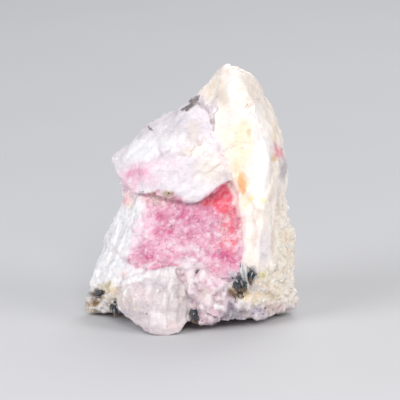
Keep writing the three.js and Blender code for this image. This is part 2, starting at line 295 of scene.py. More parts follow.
# The sizes of the break's own shapes, in millimetres.
LUMP_SIZE = 4.2
FACET_SIZE = 4.6
HOLLOW_SIZE = 3.2
CHIP_SIZE = 1.5
GRAIN_SIZE = 0.95
FIBRES = ((1.3, 11, 7), (0.6, 6, 8))  # the thick and the thin ones: width, length and seed
SHEET_WIDTH = 2.1
SUNK_UNDER = 0.25  # how far the skin sinks under a crystal
CRYSTAL_SKIRT = (0.52, 0.68)  # where the stone takes over, in crystal widths from its axis

# How wide the step is from each part to its neighbours, in millimetres, where it isn't the
# usual one.
SOFT_EDGE = 0.9
SOFT_EDGES = {"bed": 2.0, "sill": 2.0, "coral": 1.4, "column": 2.0}

# Tints of the minerals and the dirt on them.
WHITE = "f9f5f5"
PEARL = "f0e6e8"
LILAC = "e9dfe6"
ICE = "fcfafc"
CREAM = "fcefe5"
BUTTER = "f9e2c0"
BEIGE = "e2d3c8"
SHELL = "f8d8d6"
PETAL = "f1d9e3"
BLUSH = "f3cbdb"
MAUVE = "d68fae"
ROSE = "dc86a8"
MAGENTA = "d4588c"
WINE = "a84c74"
CORAL = "ec5068"
SALMON = "f28a9a"
APRICOT = "f5ac74"
OCHRE = "e6ae66"
OLIVE = "b9a67c"
SEPIA = "7d5a34"
HEATHER = "c2b0d0"
DUST = "ccb2ae"
# the tint of the crack lines: dirt, and painted shadow in the cracks
DIRT_AND_SHADOW = "9a888c"
SLATE = "857c88"
GRAPHITE = "5c5354"
SMOKE = "b3acb4"
FOG = "d2cad2"
SOOT = "35343a"
LEMON = "eadf90"

# Tints of what lies deeper or stands prouder than the rest, with painted shade in the pits and a
# painted highlight on the crests.
CRYSTAL_BED = "3e3834"
WEDGE_GREY = "6a6060"
GREY_PIT_SHADE = "c9bcc4"
MAUVE_PIT_SHADE = "947f8c"
BROWN_PIT_SHADE = "b4946e"
PINK_PIT_SHADE = "b8507c"
CREST_HIGHLIGHT = "fffafa"
SUGAR = "f4e9ea"
COOL = "e4e9f2"

PART_COLOURS = {
    "block": LILAC,
    "bed": "e6a2ba",
    "coral": "ee5c70",
    "flank": ICE,
    "toe": "d9d0c6",
    "lump": "d6c9cc",
    "sill": "d6b9c2",
    "column": CREAM,
    "crust": "fff8ee",
    "foot": "bfb2c0",
    "back": "efe9e8",
}

# Local colours on the display face: where each lies in millimetres, its half width and half
# height, its turn in degrees and how strong it is. Later ones lie over earlier ones.
STAINS = [
    # the milky block
    (ICE, (-10.0, 38.0), (4.2, 2.6), 32, 0.85),
    (WHITE, (-4.8, 39.6), (2.2, 1.4), 20, 0.70),
    (FOG, (-1.2, 43.2), (2.6, 3.2), -30, 0.50),
    (BEIGE, (0.6, 41.4), (1.5, 3.0), 0, 0.60),
    (BEIGE, (-0.8, 37.4), (2.4, 1.0), 10, 0.70),
    (WHITE, (-1.8, 40.0), (0.6, 1.6), -15, 0.80),
    (SMOKE, (-6.6, 36.4), (0.6, 1.4), -20, 0.40),
    (BLUSH, (-7.0, 35.0), (2.6, 1.1), 5, 0.35),
    (BLUSH, (-4.2, 34.4), (2.4, 2.2), 0, 0.20),
    (FOG, (-3.6, 33.3), (1.2, 0.6), 0, 0.70),
    (BLUSH, (-8.2, 31.6), (2.6, 1.6), 0, 0.40),
    (CREAM, (1.6, 37.6), (1.8, 1.4), 40, 0.90),
    (CREAM, (4.2, 34.0), (3.4, 3.8), 0, 0.85),
    (WHITE, (3.6, 38.8), (1.2, 1.6), 20, 0.60),
    (WHITE, (0.4, 30.2), (3.6, 1.6), 10, 0.55),
    (FOG, (-2.0, 29.2), (2.6, 0.8), 0, 0.45),
    (SHELL, (6.2, 36.0), (1.0, 2.2), 20, 0.50),
    (FOG, (5.2, 32.4), (1.6, 1.0), 20, 0.30),
    # the pink patch under its left end
    (BLUSH, (-11.0, 33.0), (3.8, 2.4), 12, 1.00),
    (ROSE, (-12.2, 32.8), (1.2, 1.0), 30, 0.60),
    (ROSE, (-10.2, 33.3), (1.5, 0.8), 10, 0.45),
    (ROSE, (-11.3, 31.8), (0.9, 0.5), -20, 0.35),
    (MAGENTA, (-12.3, 32.6), (0.45, 0.5), 0, 0.50),
    (BLUSH, (-12.8, 30.4), (2.4, 2.6), 0, 0.95),
    (SHELL, (-12.8, 27.6), (2.2, 2.2), 0, 0.90),
    (SALMON, (-13.2, 27.4), (0.9, 1.2), 20, 0.30),
    (BUTTER, (-11.8, 26.0), (1.2, 0.9), 0, 0.70),
    # the dirt along the ledge, and painted light under it
    (BEIGE, (-5.6, 28.0), (3.0, 0.8), 0, 0.60),
    # a pale strip of painted light that lifts the shadow under the ledge
    (SHELL, (-7.8, 27.7), (3.0, 1.1), 0, 0.85),
    (OLIVE, (-4.6, 29.0), (1.3, 0.55), 0, 0.85),
    (OLIVE, (-8.0, 29.2), (1.0, 0.45), 0, 0.70),
    (SMOKE, (-9.9, 29.3), (0.9, 0.4), 0, 0.60),
    (SEPIA, (-7.5, 28.9), (0.35, 0.3), 0, 0.80),
    # the pink bed
    (BLUSH, (-9.0, 22.4), (2.3, 5.0), -20, 0.95),
    (PETAL, (-11.4, 18.8), (1.3, 3.4), -24, 0.80),
    (PETAL, (-12.0, 14.4), (1.8, 0.9), 10, 0.70),
    (PEARL, (-7.8, 14.4), (2.6, 0.8), 8, 0.75),
    (BLUSH, (-6.4, 18.4), (2.6, 2.4), 0, 0.45),
    (SHELL, (-6.6, 27.4), (3.0, 1.0), 0, 0.55),
    (MAUVE, (-1.6, 23.0), (3.4, 3.2), 0, 0.60),
    (MAUVE, (3.0, 23.6), (3.0, 3.0), 0, 0.75),
    (SALMON, (5.6, 26.6), (4.0, 2.8), 0, 0.75),
    (SALMON, (7.6, 20.6), (2.4, 5.0), 0, 0.60),
    (CORAL, (6.7, 28.4), (1.6, 2.0), -20, 0.95),
    (CORAL, (6.4, 26.6), (2.4, 1.7), 0, 0.95),
    (CORAL, (3.8, 27.2), (2.2, 0.7), 25, 0.80),
    (CORAL, (8.0, 25.6), (1.5, 1.2), -30, 0.75),
    (SALMON, (8.2, 22.4), (2.2, 2.6), 0, 0.75),
    (SALMON, (7.9, 19.0), (2.4, 2.8), 0, 0.85),
    (CORAL, (8.5, 21.4), (1.2, 3.0), 0, 0.30),
    (ROSE, (2.4, 25.4), (3.2, 1.5), 0, 0.70),
    (ROSE, (-1.2, 24.8), (2.6, 1.6), 0, 0.55),
    (ROSE, (-5.8, 24.2), (1.8, 1.3), 0, 0.45),
    (ROSE, (-6.6, 20.8), (2.0, 1.4), 0, 0.60),
    (ROSE, (-9.2, 17.0), (3.0, 1.6), 0, 0.80),
    (BLUSH, (-3.6, 18.6), (2.6, 1.6), 0, 0.60),
    (MAGENTA, (-4.5, 21.0), (0.8, 0.8), 0, 0.85),
    (MAGENTA, (-6.3, 24.2), (0.6, 0.9), 0, 0.65),
    (MAGENTA, (-8.9, 16.6), (1.0, 0.8), 0, 0.80),
    (MAGENTA, (-8.0, 15.8), (0.5, 0.9), 0, 0.60),
    (MAGENTA, (-1.7, 24.2), (0.5, 0.6), 0, 0.75),
    (MAGENTA, (1.6, 24.4), (0.5, 1.3), 0, 0.55),
    (MAGENTA, (6.2, 16.6), (2.7, 1.5), 5, 0.75),
    (MAGENTA, (7.4, 15.6), (1.3, 0.9), 0, 0.70),
    (WINE, (5.4, 17.0), (0.7, 0.7), 0, 0.50),
    (WINE, (2.4, 23.6), (0.3, 1.2), 0, 0.40),
    (WINE, (-6.3, 19.0), (0.25, 0.9), -10, 0.55),
    (WINE, (-5.6, 15.0), (0.8, 0.18), 5, 0.55),
    (BEIGE, (-12.6, 15.9), (1.4, 0.8), 0, 0.40),
    (WINE, (-12.7, 15.9), (0.9, 0.5), 0, 0.20),
    (BLUSH, (5.5, 20.6), (0.7, 1.2), 0, 0.95),
    (BLUSH, (3.4, 20.4), (0.6, 1.1), 0, 0.90),
    (BLUSH, (7.6, 18.5), (0.5, 0.8), 0, 0.75),
    (BLUSH, (-3.4, 23.6), (0.6, 0.8), 0, 0.70),
    (BLUSH, (-7.0, 17.4), (1.6, 0.9), 0, 0.60),
    (PETAL, (0.4, 17.2), (3.0, 1.5), 0, 0.80),
    (LILAC, (-0.8, 14.8), (3.2, 1.4), 0, 0.80),
    (PETAL, (3.0, 15.4), (1.2, 1.9), 0, 0.70),
    (ROSE, (4.7, 15.2), (0.9, 0.8), 0, 0.80),
    (SHELL, (10.4, 22.6), (1.1, 4.8), 2, 1.00),
    (SHELL, (9.3, 28.0), (0.8, 2.6), -22, 0.95),
    (BLUSH, (10.1, 17.4), (0.7, 2.4), 0, 0.70),
    # the white flank
    (WHITE, (-12.2, 24.4), (1.2, 3.6), -26, 0.95),
    (WHITE, (-14.4, 18.6), (1.3, 4.6), -24, 0.90),
    (FOG, (-16.8, 19.4), (0.9, 2.6), -20, 0.45),
    (FOG, (-13.6, 21.0), (0.35, 3.0), -26, 0.45),
    (WHITE, (-18.4, 13.0), (1.1, 3.0), -24, 0.90),
    (BLUSH, (-11.2, 20.6), (1.0, 3.0), -20, 0.55),
    (SHELL, (-13.4, 12.2), (1.1, 1.4), 0, 0.70),
    (WINE, (-14.0, 11.2), (0.3, 0.9), 25, 0.40),
    # the toe
    (OLIVE, (-16.8, 9.8), (2.0, 1.3), 10, 0.95),
    (BUTTER, (-16.0, 9.2), (1.2, 1.0), 0, 0.60),
    (BEIGE, (-14.6, 8.6), (1.2, 1.6), 0, 0.60),
    (SOOT, (-19.3, 8.2), (1.7, 0.9), 10, 0.85),
    (SOOT, (-16.9, 8.7), (0.8, 0.25), 10, 0.55),
    (SEPIA, (-20.0, 6.5), (1.1, 0.8), 0, 0.85),
    (SEPIA, (-20.2, 5.2), (0.4, 0.4), 0, 0.60),
    (SMOKE, (-20.9, 7.4), (0.6, 1.0), 0, 0.60),
    (OLIVE, (-20.6, 4.6), (1.0, 0.5), 0, 0.60),
    (WHITE, (-17.9, 5.8), (1.5, 1.3), 0, 0.95),
    (SOOT, (-15.9, 5.6), (0.5, 0.9), 0, 0.80),
    (SEPIA, (-18.4, 7.5), (1.6, 0.22), 10, 0.60),
    (SEPIA, (-17.4, 9.3), (0.3, 0.2), 0, 0.60),
    (SMOKE, (-13.4, 4.4), (1.6, 0.35), -25, 0.60),
    # the lower left lump
    (BEIGE, (-13.2, 7.4), (1.5, 2.6), 0, 0.60),
    (SHELL, (-9.6, 8.6), (2.8, 2.2), 0, 0.30),
    (FOG, (-7.4, 10.2), (3.0, 1.4), 0, 0.45),
    (WHITE, (-9.6, 12.4), (4.2, 1.0), 16, 0.75),
    (WHITE, (-5.0, 12.4), (2.4, 1.4), 0, 0.60),
    # the ice line along the lump's top edge is a painted highlight
    (ICE, (-11.4, 11.1), (3.4, 0.5), 16, 0.95),
    (ICE, (-12.9, 8.8), (0.4, 1.6), -30, 0.85),
    (WHITE, (-4.0, 9.4), (0.35, 2.6), 0, 0.80),
    (WHITE, (-5.2, 7.6), (0.25, 2.0), 3, 0.60),
    (PEARL, (-5.6, 3.4), (3.2, 1.7), 0, 0.80),
    (SHELL, (-4.0, 2.2), (1.4, 0.9), 0, 0.50),
    (BEIGE, (-2.0, 8.0), (0.8, 2.4), 0, 0.50),
    (BEIGE, (-10.8, 5.4), (0.7, 0.6), 0, 0.70),
    (SEPIA, (-9.1, 4.5), (0.22, 0.22), 0, 0.60),
    (BEIGE, (-5.6, 14.6), (2.6, 0.8), 0, 0.45),
    # the middle
    # painted light that lifts the shade in the groove between the lump and the middle
    (PEARL, (-0.4, 7.2), (0.8, 1.3), 0, 0.90),
    (PEARL, (0.4, 11.4), (1.0, 1.9), 0, 0.75),
    (ROSE, (4.4, 10.4), (1.2, 0.7), 0, 0.55),
    (BLUSH, (4.4, 11.2), (2.8, 1.8), 0, 0.70),
    (ROSE, (6.9, 12.2), (1.2, 0.7), 0, 0.60),
    (HEATHER, (7.8, 12.4), (0.9, 1.1), 0, 0.60),
    (BEIGE, (2.8, 8.2), (1.4, 1.4), 0, 0.55),
    # a white facet with a painted glint on it
    (WHITE, (5.4, 5.9), (0.7, 0.8), 30, 0.95),
    (WHITE, (2.0, 6.2), (0.6, 1.4), 10, 0.60),
    (SOOT, (1.4, 13.1), (0.26, 0.5), -30, 0.95),
    (BLUSH, (3.6, 4.6), (1.2, 0.8), 0, 0.40),
    (FOG, (6.6, 9.0), (1.0, 1.4), 0, 0.50),
    # the peak and the column
    (CREAM, (8.8, 47.2), (5.2, 5.4), 0, 0.80),
    (BEIGE, (6.0, 49.4), (1.6, 3.6), 14, 0.70),
    (BEIGE, (12.6, 49.0), (1.2, 4.4), -16, 0.50),
    (PEARL, (13.4, 42.0), (0.7, 6.0), -6, 0.70),
    (CREAM, (7.6, 41.6), (1.2, 4.0), 10, 0.60),
    (WHITE, (8.6, 50.0), (1.0, 3.8), 0, 0.80),
    (BEIGE, (7.0, 54.2), (2.6, 0.8), 20, 0.45),
    (BEIGE, (11.8, 51.6), (1.6, 2.0), 0, 0.35),
    (BUTTER, (4.4, 50.6), (2.2, 1.0), 40, 0.45),
    (LILAC, (4.4, 46.6), (0.8, 2.2), 0, 0.80),
    (SHELL, (7.2, 44.0), (1.8, 2.2), 0, 0.45),
    (BUTTER, (8.4, 40.6), (3.0, 2.2), 0, 0.40),
    (WHITE, (12.4, 45.4), (2.4, 1.4), 10, 0.70),
    (WHITE, (14.8, 36.0), (1.9, 8.0), -3, 0.90),
    (BUTTER, (9.8, 37.0), (2.0, 7.0), -8, 0.50),
    (BUTTER, (11.2, 27.0), (1.4, 2.6), 0, 0.55),
    (BUTTER, (11.2, 41.0), (1.3, 3.4), 15, 0.60),
    (OLIVE, (12.0, 41.3), (0.5, 0.9), 0, 0.45),
    (BUTTER, (11.2, 37.0), (1.4, 2.4), 0, 0.50),
    (BUTTER, (9.2, 34.0), (1.1, 2.2), 0, 0.80),
    (APRICOT, (10.4, 31.2), (1.2, 2.4), 0, 0.90),
    (APRICOT, (10.3, 29.4), (1.0, 1.2), 0, 0.70),
    (OCHRE, (10.7, 31.9), (0.45, 0.55), 0, 0.80),
    (SHELL, (9.4, 28.2), (0.9, 2.0), -20, 0.90),
    (LEMON, (11.8, 27.6), (0.9, 0.7), 0, 0.45),
    (LEMON, (14.8, 27.6), (0.7, 0.6), 0, 0.60),
    (BEIGE, (13.6, 25.8), (1.6, 0.6), -20, 0.60),
    (BEIGE, (12.9, 18.6), (0.5, 2.6), 0, 0.75),
    (PEARL, (14.9, 18.0), (1.6, 4.4), 0, 0.95),
    (BEIGE, (13.4, 22.8), (0.5, 3.2), 0, 0.60),
    # the grey-beige streaks down the column's right side lie in its groove: beige tone and painted
    # shade in the groove
    (BEIGE, (16.4, 29.6), (0.6, 3.0), 0, 0.50),
    (BEIGE, (16.4, 34.6), (0.4, 4.0), -3, 0.60),
    (BEIGE, (16.9, 19.0), (0.5, 3.6), -2, 0.85),
    (SMOKE, (15.0, 16.4), (0.8, 0.6), 0, 0.25),
    (BEIGE, (18.3, 26.4), (0.3, 3.4), 4, 0.80),
    (BUTTER, (17.2, 41.0), (0.9, 3.0), 0, 0.35),
    (SHELL, (17.4, 37.7), (1.3, 2.1), 6, 1.00),
    (SALMON, (17.7, 37.6), (0.8, 1.5), 8, 0.75),
    (OCHRE, (16.9, 36.2), (0.5, 0.9), 0, 0.50),
    # grey translucent spar and painted shade on the facet at the right rim
    (SMOKE, (19.0, 34.0), (0.9, 3.2), 4, 0.80),
    (OLIVE, (11.5, 47.1), (0.28, 0.3), 0, 0.50),
    (SMOKE, (13.7, 48.1), (0.3, 0.3), 0, 0.40),
    # the crust and the foot
    (BUTTER, (15.0, 9.0), (4.4, 3.4), 0, 0.25),
    (BUTTER, (19.4, 17.0), (1.6, 6.4), 0, 0.25),
    (BEIGE, (14.2, 9.8), (1.6, 1.0), 0, 0.30),
    (FOG, (12.4, 9.8), (1.7, 1.6), 0, 0.70),
    (LEMON, (14.0, 12.3), (1.3, 0.8), 0, 0.60),
    (BUTTER, (12.4, 7.9), (2.6, 1.2), 0, 0.80),
    (WHITE, (9.6, 6.7), (1.4, 0.8), 0, 0.60),
    (OLIVE, (9.6, 9.2), (2.2, 1.3), 0, 0.80),
    (SEPIA, (9.5, 8.7), (2.1, 1.1), 0, 0.85),
    (SMOKE, (9.4, 11.6), (1.8, 1.5), 0, 0.55),
    (SMOKE, (12.7, 12.6), (1.1, 1.5), 0, 0.50),
    # painted shade beside the spar blade
    (SMOKE, (12.3, 13.9), (0.8, 0.8), 0, 0.60),
    (SLATE, (8.0, 4.6), (1.3, 1.2), -30, 0.85),
    (SMOKE, (9.4, 4.4), (1.8, 0.8), 0, 0.60),
    (HEATHER, (13.4, 4.5), (2.6, 1.1), 0, 0.65),
    (SHELL, (17.2, 5.9), (2.4, 1.2), 0, 0.60),
]

# Thin dark lines: dirt and shadow in the cracks, and the aegirine wedge at the top of the block.
# Each has its tint, its points, its width in millimetres and how strong it is.
VEINS = [
    (GRAPHITE, [(0.6, 48.2), (-0.2, 47.0), (-1.2, 45.8)], 0.42, 0.85),
    (GRAPHITE, [(1.3, 48.6), (0.9, 47.6), (0.0, 46.7)], 0.38, 0.65),
    (DIRT_AND_SHADOW, [(0.9, 47.8), (1.6, 46.9), (2.4, 46.2)], 0.30, 0.70),
    (DIRT_AND_SHADOW, [(4.3, 44.2), (4.3, 42.6), (4.1, 41.0)], 0.12, 0.60),
    (DIRT_AND_SHADOW, [(5.1, 47.6), (4.9, 45.6), (4.5, 43.5)], 0.13, 0.65),
    (WINE, [(8.3, 31.3), (6.5, 30.5), (4.7, 29.2), (3.2, 28.2), (1.4, 26.9)], 0.16, 0.70),
    (DIRT_AND_SHADOW, [(1.4, 26.9), (-1.2, 27.0), (-3.5, 28.5), (-6.3, 29.1), (-10.4, 29.2)], 0.14, 0.60),
    (DIRT_AND_SHADOW, [(-3.4, 14.2), (-2.5, 12.8), (-1.4, 10.6), (-0.9, 8.8)], 0.18, 0.70),
    (DUST, [(-3.4, 36.6), (-1.6, 36.6), (0.2, 36.3)], 0.16, 0.70),
    (DUST, [(0.3, 36.6), (0.8, 38.6), (2.7, 39.9), (5.0, 38.4), (6.8, 36.4)], 0.14, 0.55),
    (DUST, [(8.6, 30.0), (9.3, 27.6), (9.9, 25.2)], 0.14, 0.50),
    (SMOKE, [(17.1, 39.2), (17.3, 37.6)], 0.14, 0.60),
    (SOOT, [(-8.2, 42.4), (-8.1, 41.9)], 0.16, 0.80),
]

# The aegirine and the spar blades on the face: where each is rooted, where it ends and how
# thick it is, in millimetres of across, up and out.
CLUSTER = [
    Shaft((10.1, 9.3, 9.2), (8.8, 11.0, 12.3), 1.5),
    Shaft((10.0, 9.5, 9.2), (9.8, 12.2, 12.1), 1.4),
    Shaft((10.7, 9.3, 9.2), (10.7, 11.0, 12.2), 1.2),
    Shaft((12.0, 10.8, 8.6), (12.2, 13.3, 11.4), 1.3),
    Shaft((12.2, 11.0, 8.6), (13.0, 12.4, 11.0), 0.9),
]
SINGLES = [
    Shaft((0.6, 2.9, 9.2), (0.3, 5.4, 12.0), 1.6),
    Shaft((1.1, 2.7, 9.2), (1.0, 4.3, 11.7), 1.1),
    Shaft((-20.3, 8.2, -2.4), (-18.2, 8.7, 1.3), 0.9),
    Shaft((-15.4, 3.8, 1.0), (-15.9, 6.2, 4.2), 1.0),
]
WEDGE = Shaft((1.2, 48.6, 1.4), (-1.2, 45.7, 6.2), 0.8)  # a sliver that the spar has grown over
RIBS = 7  # thinner prisms grown along each crystal
BLADES = [
    Shaft((11.4, 10.4, 8.8), (10.5, 14.6, 11.6), 1.1),
]
SLIVERS = [
    Shaft((11.3, 10.2, 9.6), (10.9, 14.3, 12.0), 0.80),
    Shaft((10.8, 10.4, 9.6), (10.0, 13.9, 12.0), 0.60),
    Shaft((9.9, 9.7, 10.2), (9.2, 11.5, 12.7), 0.30),
    Shaft((10.5, 9.4, 10.2), (10.3, 11.0, 12.7), 0.24),
    Shaft((9.2, 10.3, 10.0), (8.6, 11.6, 12.2), 0.22),
    Shaft((12.0, 11.2, 9.4), (12.5, 13.0, 11.9), 0.28),
    Shaft((12.5, 11.0, 9.2), (13.2, 12.2, 11.4), 0.22),
    Shaft((0.7, 3.4, 10.2), (0.5, 4.7, 12.2), 0.20),
]
CRYSTAL_SIDES = 6
CRYSTAL_SHOULDER = 0.8  # the share of a crystal's length below its pointed end
CRYSTAL_FLAT = 0.75  # its thickness one way against the other
CRYSTAL_POINT = 0.22  # the width of its blunt point over its own
CRYSTAL_CORE = 0.82  # the width of a ribbed crystal's core over the whole
GRAINS_AT_ONCE = 60  # grains made in one go, because making one gets slower as the heap grows

# Sprays of thin needles that lie on the skin: the middle of their roots, how far apart the
# roots are, which way they point in degrees from up, how much they fan out, their length and
# width in millimetres, and how many there are.
DARK_SPRAYS = [
    Spray((9.7, 10.9), 0.7, -20, 60, 0.9, 0.45, 9),
    Spray((12.3, 12.2), 0.3, 12, 25, 1.1, 0.40, 4),
    Spray((9.9, 9.3), 1.1, 184, 40, 1.3, 0.28, 24),
    Spray((-18.4, 8.3), 0.9, 200, 60, 1.0, 0.26, 10),
    Spray((-15.4, 6.2), 0.6, 160, 50, 0.9, 0.24, 8),
    Spray((10.1, 13.4), 0.1, -8, 6, 1.4, 0.24, 2),
    Spray((0.4, 3.4), 0.5, 0, 50, 0.9, 0.45, 5),
]
CLEAR_SPRAYS = [
    Spray((10.8, 12.6), 0.5, 8, 18, 1.7, 0.36, 8),
    Spray((10.7, 9.8), 1.0, 180, 22, 1.0, 0.22, 5),
]

# Aegirine that lies in the sides and the back: the middle of each group in millimetres, how far
# apart its crystals are, their length and width, and how many there are.
BACK_GROUPS = [
    Group((-9.0, 12.0, 20.0), 1.0, 1.8, 1.0, 7),
    Group((6.0, 18.0, 31.0), 0.8, 1.4, 0.8, 5),
    Group((12.0, 16.0, 10.0), 0.9, 1.6, 0.9, 5),
    Group((-16.0, 8.0, 6.5), 0.8, 1.5, 0.8, 4),
    Group((20.0, 4.0, 19.0), 0.7, 1.2, 0.7, 4),
    Group((0.0, 20.0, 8.0), 2.6, 0.9, 0.7, 5),
    Group((-12.0, 5.0, 30.0), 0.6, 1.2, 0.6, 3),
]

# Black grains in the spar: where each lies on the face and how wide it is.
SPECKS = [
    (1.5, 13.2, 0.5), (1.3, 12.9, 0.4), (15.0, 5.5, 0.6), (19.6, 5.1, 0.7), (15.2, 5.4, 0.3),
    (-9.1, 4.5, 0.3), (-18.6, 8.6, 0.8), (-19.3, 8.3, 0.7), (-17.8, 8.8, 0.5), (-15.6, 6.6, 0.7),
    (-15.9, 5.8, 0.8), (-15.5, 5.2, 0.6), (-14.6, 4.6, 0.4), (-13.6, 4.2, 0.35), (-19.9, 6.7, 0.5),
    (-20.2, 5.6, 0.4), (-8.2, 42.3, 0.4), (11.5, 47.1, 0.25), (13.7, 48.1, 0.25), (19.5, 17.9, 0.3),
    (18.6, 38.0, 0.5), (-7.5, 28.9, 0.35), (8.5, 9.9, 0.35), (9.0, 9.2, 0.30), (9.3, 10.1, 0.30),
    (9.7, 8.8, 0.30), (10.1, 9.4, 0.35), (10.4, 8.6, 0.25), (10.7, 9.3, 0.30), (11.1, 9.8, 0.25),
    (11.4, 9.0, 0.20), (8.1, 10.5, 0.25), (9.1, 8.4, 0.20), (10.0, 8.1, 0.20), (10.2, 4.9, 0.30),
    (11.0, 4.3, 0.25), (11.8, 5.2, 0.30), (12.7, 4.4, 0.35), (13.4, 5.4, 0.25), (9.2, 5.4, 0.30),
    (8.2, 6.4, 0.30), (7.9, 4.6, 0.25), (12.2, 6.0, 0.22), (14.0, 4.8, 0.22), (10.6, 5.8, 0.20),
    (16.8, 5.0, 0.22), (-4.6, 29.0, 0.5), (-9.8, 29.3, 0.4), (5.3, 6.9, 0.3), (14.7, 4.3, 0.4),
    (20.6, 9.4, 0.3), (21.2, 13.0, 0.3),
]


# ---------------------------------------- finishes

# Tints that the finishes mix in, as light: red, green, blue and cover.
PURE_WHITE = (1, 1, 1, 1)
CLOUD_GREY = (0.86, 0.82, 0.83, 1)
CRACK_GREY = (0.62, 0.52, 0.52, 1)
SUGAR_WHITE = (1.0, 0.88, 0.92, 1)
SEAM_PINK = (0.50, 0.16, 0.28, 1)
CRUST_DUST = (0.70, 0.58, 0.44, 1)
# a painted glint: the pale grey that some of the aegirine's ribs are painted
CRYSTAL_GLINT_GREY = (0.52, 0.52, 0.55, 1)
CRYSTAL_DUST = (0.55, 0.52, 0.50, 1)
RUST_BROWN = (0.10, 0.055, 0.028, 1)
RUST_OCHRE = (0.52, 0.36, 0.19, 1)
BLADE_WHITE = (0.93, 0.93, 0.93, 1)
BLADE_GREY = (0.80, 0.80, 0.82, 1)
BLADE_LINE = (0.36, 0.34, 0.34, 1)


class Wire:
    """A shader socket that takes part in plain arithmetic."""

    def __init__(self, finish, socket):
        self.finish = finish
        self.socket = socket

    def math(self, operation, first, second):
        return self.finish.add("ShaderNodeMath", {"operation": operation}, {0: first, 1: second})

    def __add__(self, other):
        return self.math("ADD", self, other)

    def __radd__(self, other):
        return self.math("ADD", other, self)

    def __sub__(self, other):
        return self.math("SUBTRACT", self, other)

    def __rsub__(self, other):
        return self.math("SUBTRACT", other, self)

    def __mul__(self, other):
        return self.math("MULTIPLY", self, other)

    def __rmul__(self, other):
        return self.math("MULTIPLY", other, self)


class Finish:
    """A node material in the making."""

    def __init__(self, name):
        self.material = bpy.data.materials.new(name)
        self.material.use_nodes = True
        self.tree = self.material.node_tree
        self.tree.nodes.clear()

    def add(self, kind, settings=None, sockets=None, out=0):
        """One node: its settings first, then its sockets' values or links. Gives its wire."""
        node = self.tree.nodes.new(kind)
        for name, value in (settings or {}).items():
            if name == "stops":
                self.set_stops(node.color_ramp, value)
            else:
                setattr(node, name, value)
        for name, value in (sockets or {}).items():
            if isinstance(value, Wire):
                self.tree.links.new(value.socket, node.inputs[name])
            else:
                node.inputs[name].default_value = value
        return Wire(self, node.outputs[out]) if len(node.outputs) else None

    def set_stops(self, ramp, stops):
        """A ramp's stops, as (place, grey) pairs."""
        while len(ramp.elements) < len(stops):
            ramp.elements.new(1.0)
        for element, (place, grey) in zip(ramp.elements, stops):
            element.position = place
            element.color = (grey, grey, grey, 1)

    def vector(self, operation, first, second, out=0):
        """Two vectors put together."""
        sockets = {0: first, 1: second}
        return self.add("ShaderNodeVectorMath", {"operation": operation}, sockets, out)

    def place(self):
        """The stone's own coordinates, in metres."""
        return self.add("ShaderNodeTexCoord", out="Object")

    def noise(self, length, detail, rough, place=None):
        """Rolling noise from 0 to 1, its bumps about `length` metres apart."""
        sockets = {"Vector": place or self.place(), "Scale": 1 / length}
        sockets |= {"Detail": detail, "Roughness": rough}
        return self.add("ShaderNodeTexNoise", None, sockets)

    def cells(self, length, out, feature, place):
        """Packed cells about `length` metres across: a distance in each, or a colour of its own."""
        sockets = {"Vector": place, "Scale": 1 / length, "Randomness": 1.0}
        return self.add("ShaderNodeTexVoronoi", {"feature": feature}, sockets, out)

    def chips(self, length):
        """Flat chips about `length` metres across, each tilted its own way: heights about 0."""
        place = self.place()
        sockets = {"Vector": place, "Scale": 1 / length, "Randomness": 1.0}
        middle = self.add("ShaderNodeTexVoronoi", None, sockets, "Position")
        own = self.add("ShaderNodeTexVoronoi", None, sockets, "Color")
        local = self.vector("SUBTRACT", place, middle)
        tilt = self.vector("SUBTRACT", own, (0.5, 0.5, 0.5))
        return self.vector("DOT_PRODUCT", local, tilt, "Value") * (1 / length)

    def wander(self, length, reach):
        """The stone's own coordinates, pushed about by up to `reach` metres to bend lines."""
        rolls = {"Vector": self.place(), "Scale": 1 / length, "Detail": 2.0}
        drift = self.add("ShaderNodeTexNoise", None, rolls, 1)
        pushed = {"Vector": drift, "Scale": 2 * reach}
        push = self.add("ShaderNodeVectorMath", {"operation": "SCALE"}, pushed)
        return self.vector("ADD", self.place(), push)

    def ramp(self, value, stops):
        """A value read through straight steps."""
        return self.add("ShaderNodeValToRGB", {"stops": stops}, {"Fac": value})

    def attribute(self, name, out="Fac"):
        """A number or colour that the mesh carries."""
        return self.add("ShaderNodeAttribute", {"attribute_name": name}, None, out)

    def blend(self, factor, first, second, kind="MIX"):
        """Two colours mixed."""
        sockets = {0: factor, 6: first, 7: second}
        return self.add("ShaderNodeMix", {"data_type": "RGBA", "blend_type": kind}, sockets, 2)

    def bump(self, height, depth, strength):
        """A normal bent by a height between 0 and 1, `depth` metres deep."""
        sockets = {"Strength": strength, "Distance": depth, "Height": height}
        return self.add("ShaderNodeBump", None, sockets)

    def surface(self, **sockets):
        """The finished surface and the material that it makes."""
        names = {name.replace("_", " "): value for name, value in sockets.items()}
        shader = self.add("ShaderNodeBsdfPrincipled", None, names)
        self.add("ShaderNodeOutputMaterial", None, {"Surface": shader})
        return self.material


def linear(colour):
    """Colours from 0 to 1 as light, from the values a screen shows."""
    colour = np.asarray(colour, float)
    return np.where(colour <= 0.04045, colour / 12.92, ((colour + 0.055) / 1.055) ** 2.4)


def shade(code):
    """A six-digit colour as three numbers from 0 to 1, as a screen shows it."""
    return np.array([int(code[at:at + 2], 16) for at in (0, 2, 4)]) / 255


